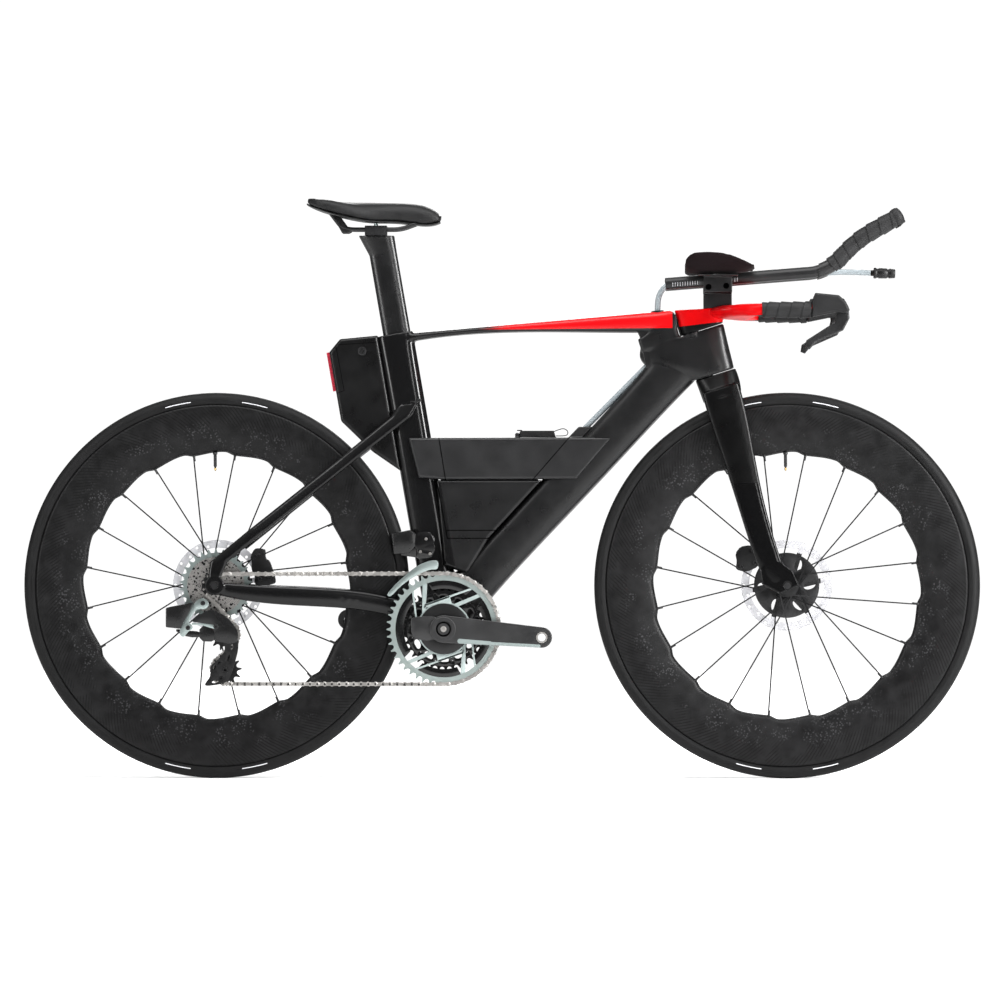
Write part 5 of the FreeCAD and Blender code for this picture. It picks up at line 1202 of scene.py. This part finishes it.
turned_piece("rear_cage_bolts", moulded_black, "derailleur_cage",
             ((-0.484, -0.0588, 0.2537), (0, -1, 0), [(-0.4, 5.5), (24, 5.5)]),
             ((-0.4825, -0.0588, 0.1917), (0, -1, 0),
              [(-0.4, 5.0), (25.8, 5.0), (26.8, 4.2), (26.8, 2.2), (25.6, 2.0)], 24, 3))

# derailleur batteries
REAR_BATTERY = [(-585.4, 300.9), (-572, 304.1), (-537.7, 310.8), (-542.5, 295.5), (-554.9, 274.5),
                (-558.7, 264.1), (-585.4, 266.9)]
FRONT_BATTERY = [(-191.7, 431.3), (-161.4, 436.6), (-149.7, 430.2), (-149, 408.9), (-161.4, 396.1),
                 (-189.1, 394)]
cut_piece("battery_shells", satin_black, "frame",
          [([REAR_BATTERY], -104.0, -81.5), ([FRONT_BATTERY], -35.5, -18)], 2.0, "derailleur_batteries")

# brakes: two halves each side of the rotor, a bridge beyond it
REAR_JAW = rounded([(-437.6, 403), (-430.9, 404.6), (-418.3, 402.3), (-418.3, 386.1), (-410.9, 382.3),
                    (-405.2, 366.1), (-400.6, 350.8), (-400, 342), (-421.4, 337), (-438.2, 340.3),
                    (-436.3, 354.6), (-442.8, 365.7), (-442, 379.4), (-445, 390)], 1)
REAR_BRIDGE = [(-418.3, 402.3), (-418.3, 386.1), (-410.9, 382.3), (-405.2, 366.1), (-400.6, 350.8),
               (-401, 342), (-417, 339), (-416, 365), (-424, 392), (-424, 402)]
cut_piece("rear_caliper_shell", moulded_black, "frame",
          [([REAR_JAW], 45.2, 54.2), ([REAR_JAW], 57.8, 66.8), ([REAR_BRIDGE], 53.8, 58.2)], 1.2,
          "rear_brake_caliper")
FRONT_JAW = rounded([(411, 367), (430, 362), (452, 372), (455, 385), (446, 396), (448, 405), (436, 410),
                     (420, 407.5), (411, 395), (414, 380)], 1)
FRONT_BRIDGE = [(412, 394), (415, 380), (412, 368), (421, 366), (425, 380), (436, 400), (436, 409),
                (420, 406.5)]
cut_piece("front_caliper_shell", moulded_black, "steering",
          [([FRONT_JAW], 26.2, 36.2), ([FRONT_JAW], 39.8, 49.8), ([FRONT_BRIDGE], 35.8, 40.2)], 1.2,
          "front_brake_caliper")
side_screws("rear_caliper_screws", alloy_black, "frame", [(-431, 392), (-411, 352), (-428, 350)],
            ["rear_caliper_shell"], 4.0, 2.4)
side_screws("front_caliper_screws", alloy_black, "steering", [(442, 401), (446, 379), (422, 372)],
            ["front_caliper_shell"], 4.0, 2.4)

# rotor carriers
for wheel, axle, y in (("front", FRONT_AXLE, 38.0), ("rear", REAR_AXLE, 56.0)):
    cx, cz = axle.x * 1000, axle.z * 1000
    holes = [oval(*spot, 11.0, 6.6, turn + 20) for turn in range(0, 360, 60)
             for spot in arc(cx, cz, 40.5, turn, turn + 1, 1)[:1]]
    cut_piece(wheel + "_rotor_carrier", alloy_black, wheel + "_wheel",
              [([arc(cx, cz, 57.6, steps=60), arc(cx, cz, 21.4, steps=36)] + holes, y - 1.7, y + 1.7)], 0.5)

# bolts and small fittings
# The bracket's screws take the painted shade black, dark as shaded holes.
side_screws("bracket_screws", painted_shade_black, "steering", [(363, 862), (394, 864)], ["arm_bracket"], 5.2, 0.8)
side_screws("tank_port", alloy_black, "frame", [(-245, 751)], ["tail_tank"], 7.6, 1.6)

# fillers seen through narrow gaps, dark as painted shade, and covers
# Dark strip in the gap under the drink box: painted shade.
cut_piece("box_seal", moulded_black, "frame",
          [([[(-107, 520.5), (-107, 529), (66, 529), (62, 520.5)]], -8, 8)], 0.3)
# Dark wedge in the gap between the stem and the top tube: painted shade.
cut_piece("stem_gap_cover", moulded_black, "steering",
          [([[(319, 778.3), (313.9, 776.7), (302, 814.5), (307, 816.1)]], -5, 5)], 0.3)
cut_piece("head_gusset", frame_paint, "frame",
          [([[(231.7, 787), (238.8, 783.6), (242.2, 777), (252.9, 726.4), (253.5, 719.4), (274, 719.4),
              (274, 787)]], -15, 15)], 2.5)
turned_piece("hose_grommet", moulded_black, "frame",
             ((0.274, 0, 0.8190), (-0.08, 0, 1), [(-1, 11.5), (2.2, 11.5), (3.2, 10.4), (3.2, 5.3)], 32))
turned_piece("extension_tips", tape_black, "steering",
             *((at_bar(364, 205, y), (47, 0, 26.5),
                [(-9, 15.2), (-7, 16.0), (-2, 15.9), (1, 15.2), (3.5, 13.2), (5.5, 10), (6.6, 5),
                 (6.9, 0.5)], 32) for y in (52, -52)))

# saddle strut and clamp bolt
STRUT = [(-302.7, 998.4), (-290.1, 996.7), (-270.7, 969.8), (-263.2, 967.3), (-264, 960.6), (-269.1, 958),
         (-280, 958)]
NOSE_HOOK = [(-134.2, 985.6), (-105.9, 988.6), (-106.9, 981.5), (-115, 972.5), (-119, 979.5), (-134.2, 981.2)]
cut_piece("saddle_hook", moulded_black, "seatpost", [([NOSE_HOOK], -12, 12)], 1.0)
cut_piece("saddle_struts", moulded_black, "seatpost", [([STRUT], -25, -19), ([STRUT], 19, 25)], 0.8)
turned_piece("saddle_bolt", mint_alloy, "seatpost",
             ((-0.221, 0, 0.971), (0, 0, 1), [(-2, 3.4), (6, 3.4), (6.1, 4.8), (9.6, 4.8), (10.6, 3.8),
                                              (10.8, 0.5)], 24))

# drink lid: wire loop and lift tab
LID_LOOP = ((90, 609), (101, 613.4), (109.1, 615.3), (115.8, 611.3), (116.7, 605.6), (111.8, 601.6), (95.6, 602))
loop, _ = hose("lid_loop", [Vector((x, 0, z)) / 1000 for x, z in LID_LOOP], 0.0016)
shown("lid_loop", loop, moulded_black, "refill_lid")
cut_piece("lid_tab", moulded_black, "refill_lid",
          [([[(27, 610.6), (27, 612.6), (36, 612.6), (36, 610.6)]], -4, 4)], 0.4)
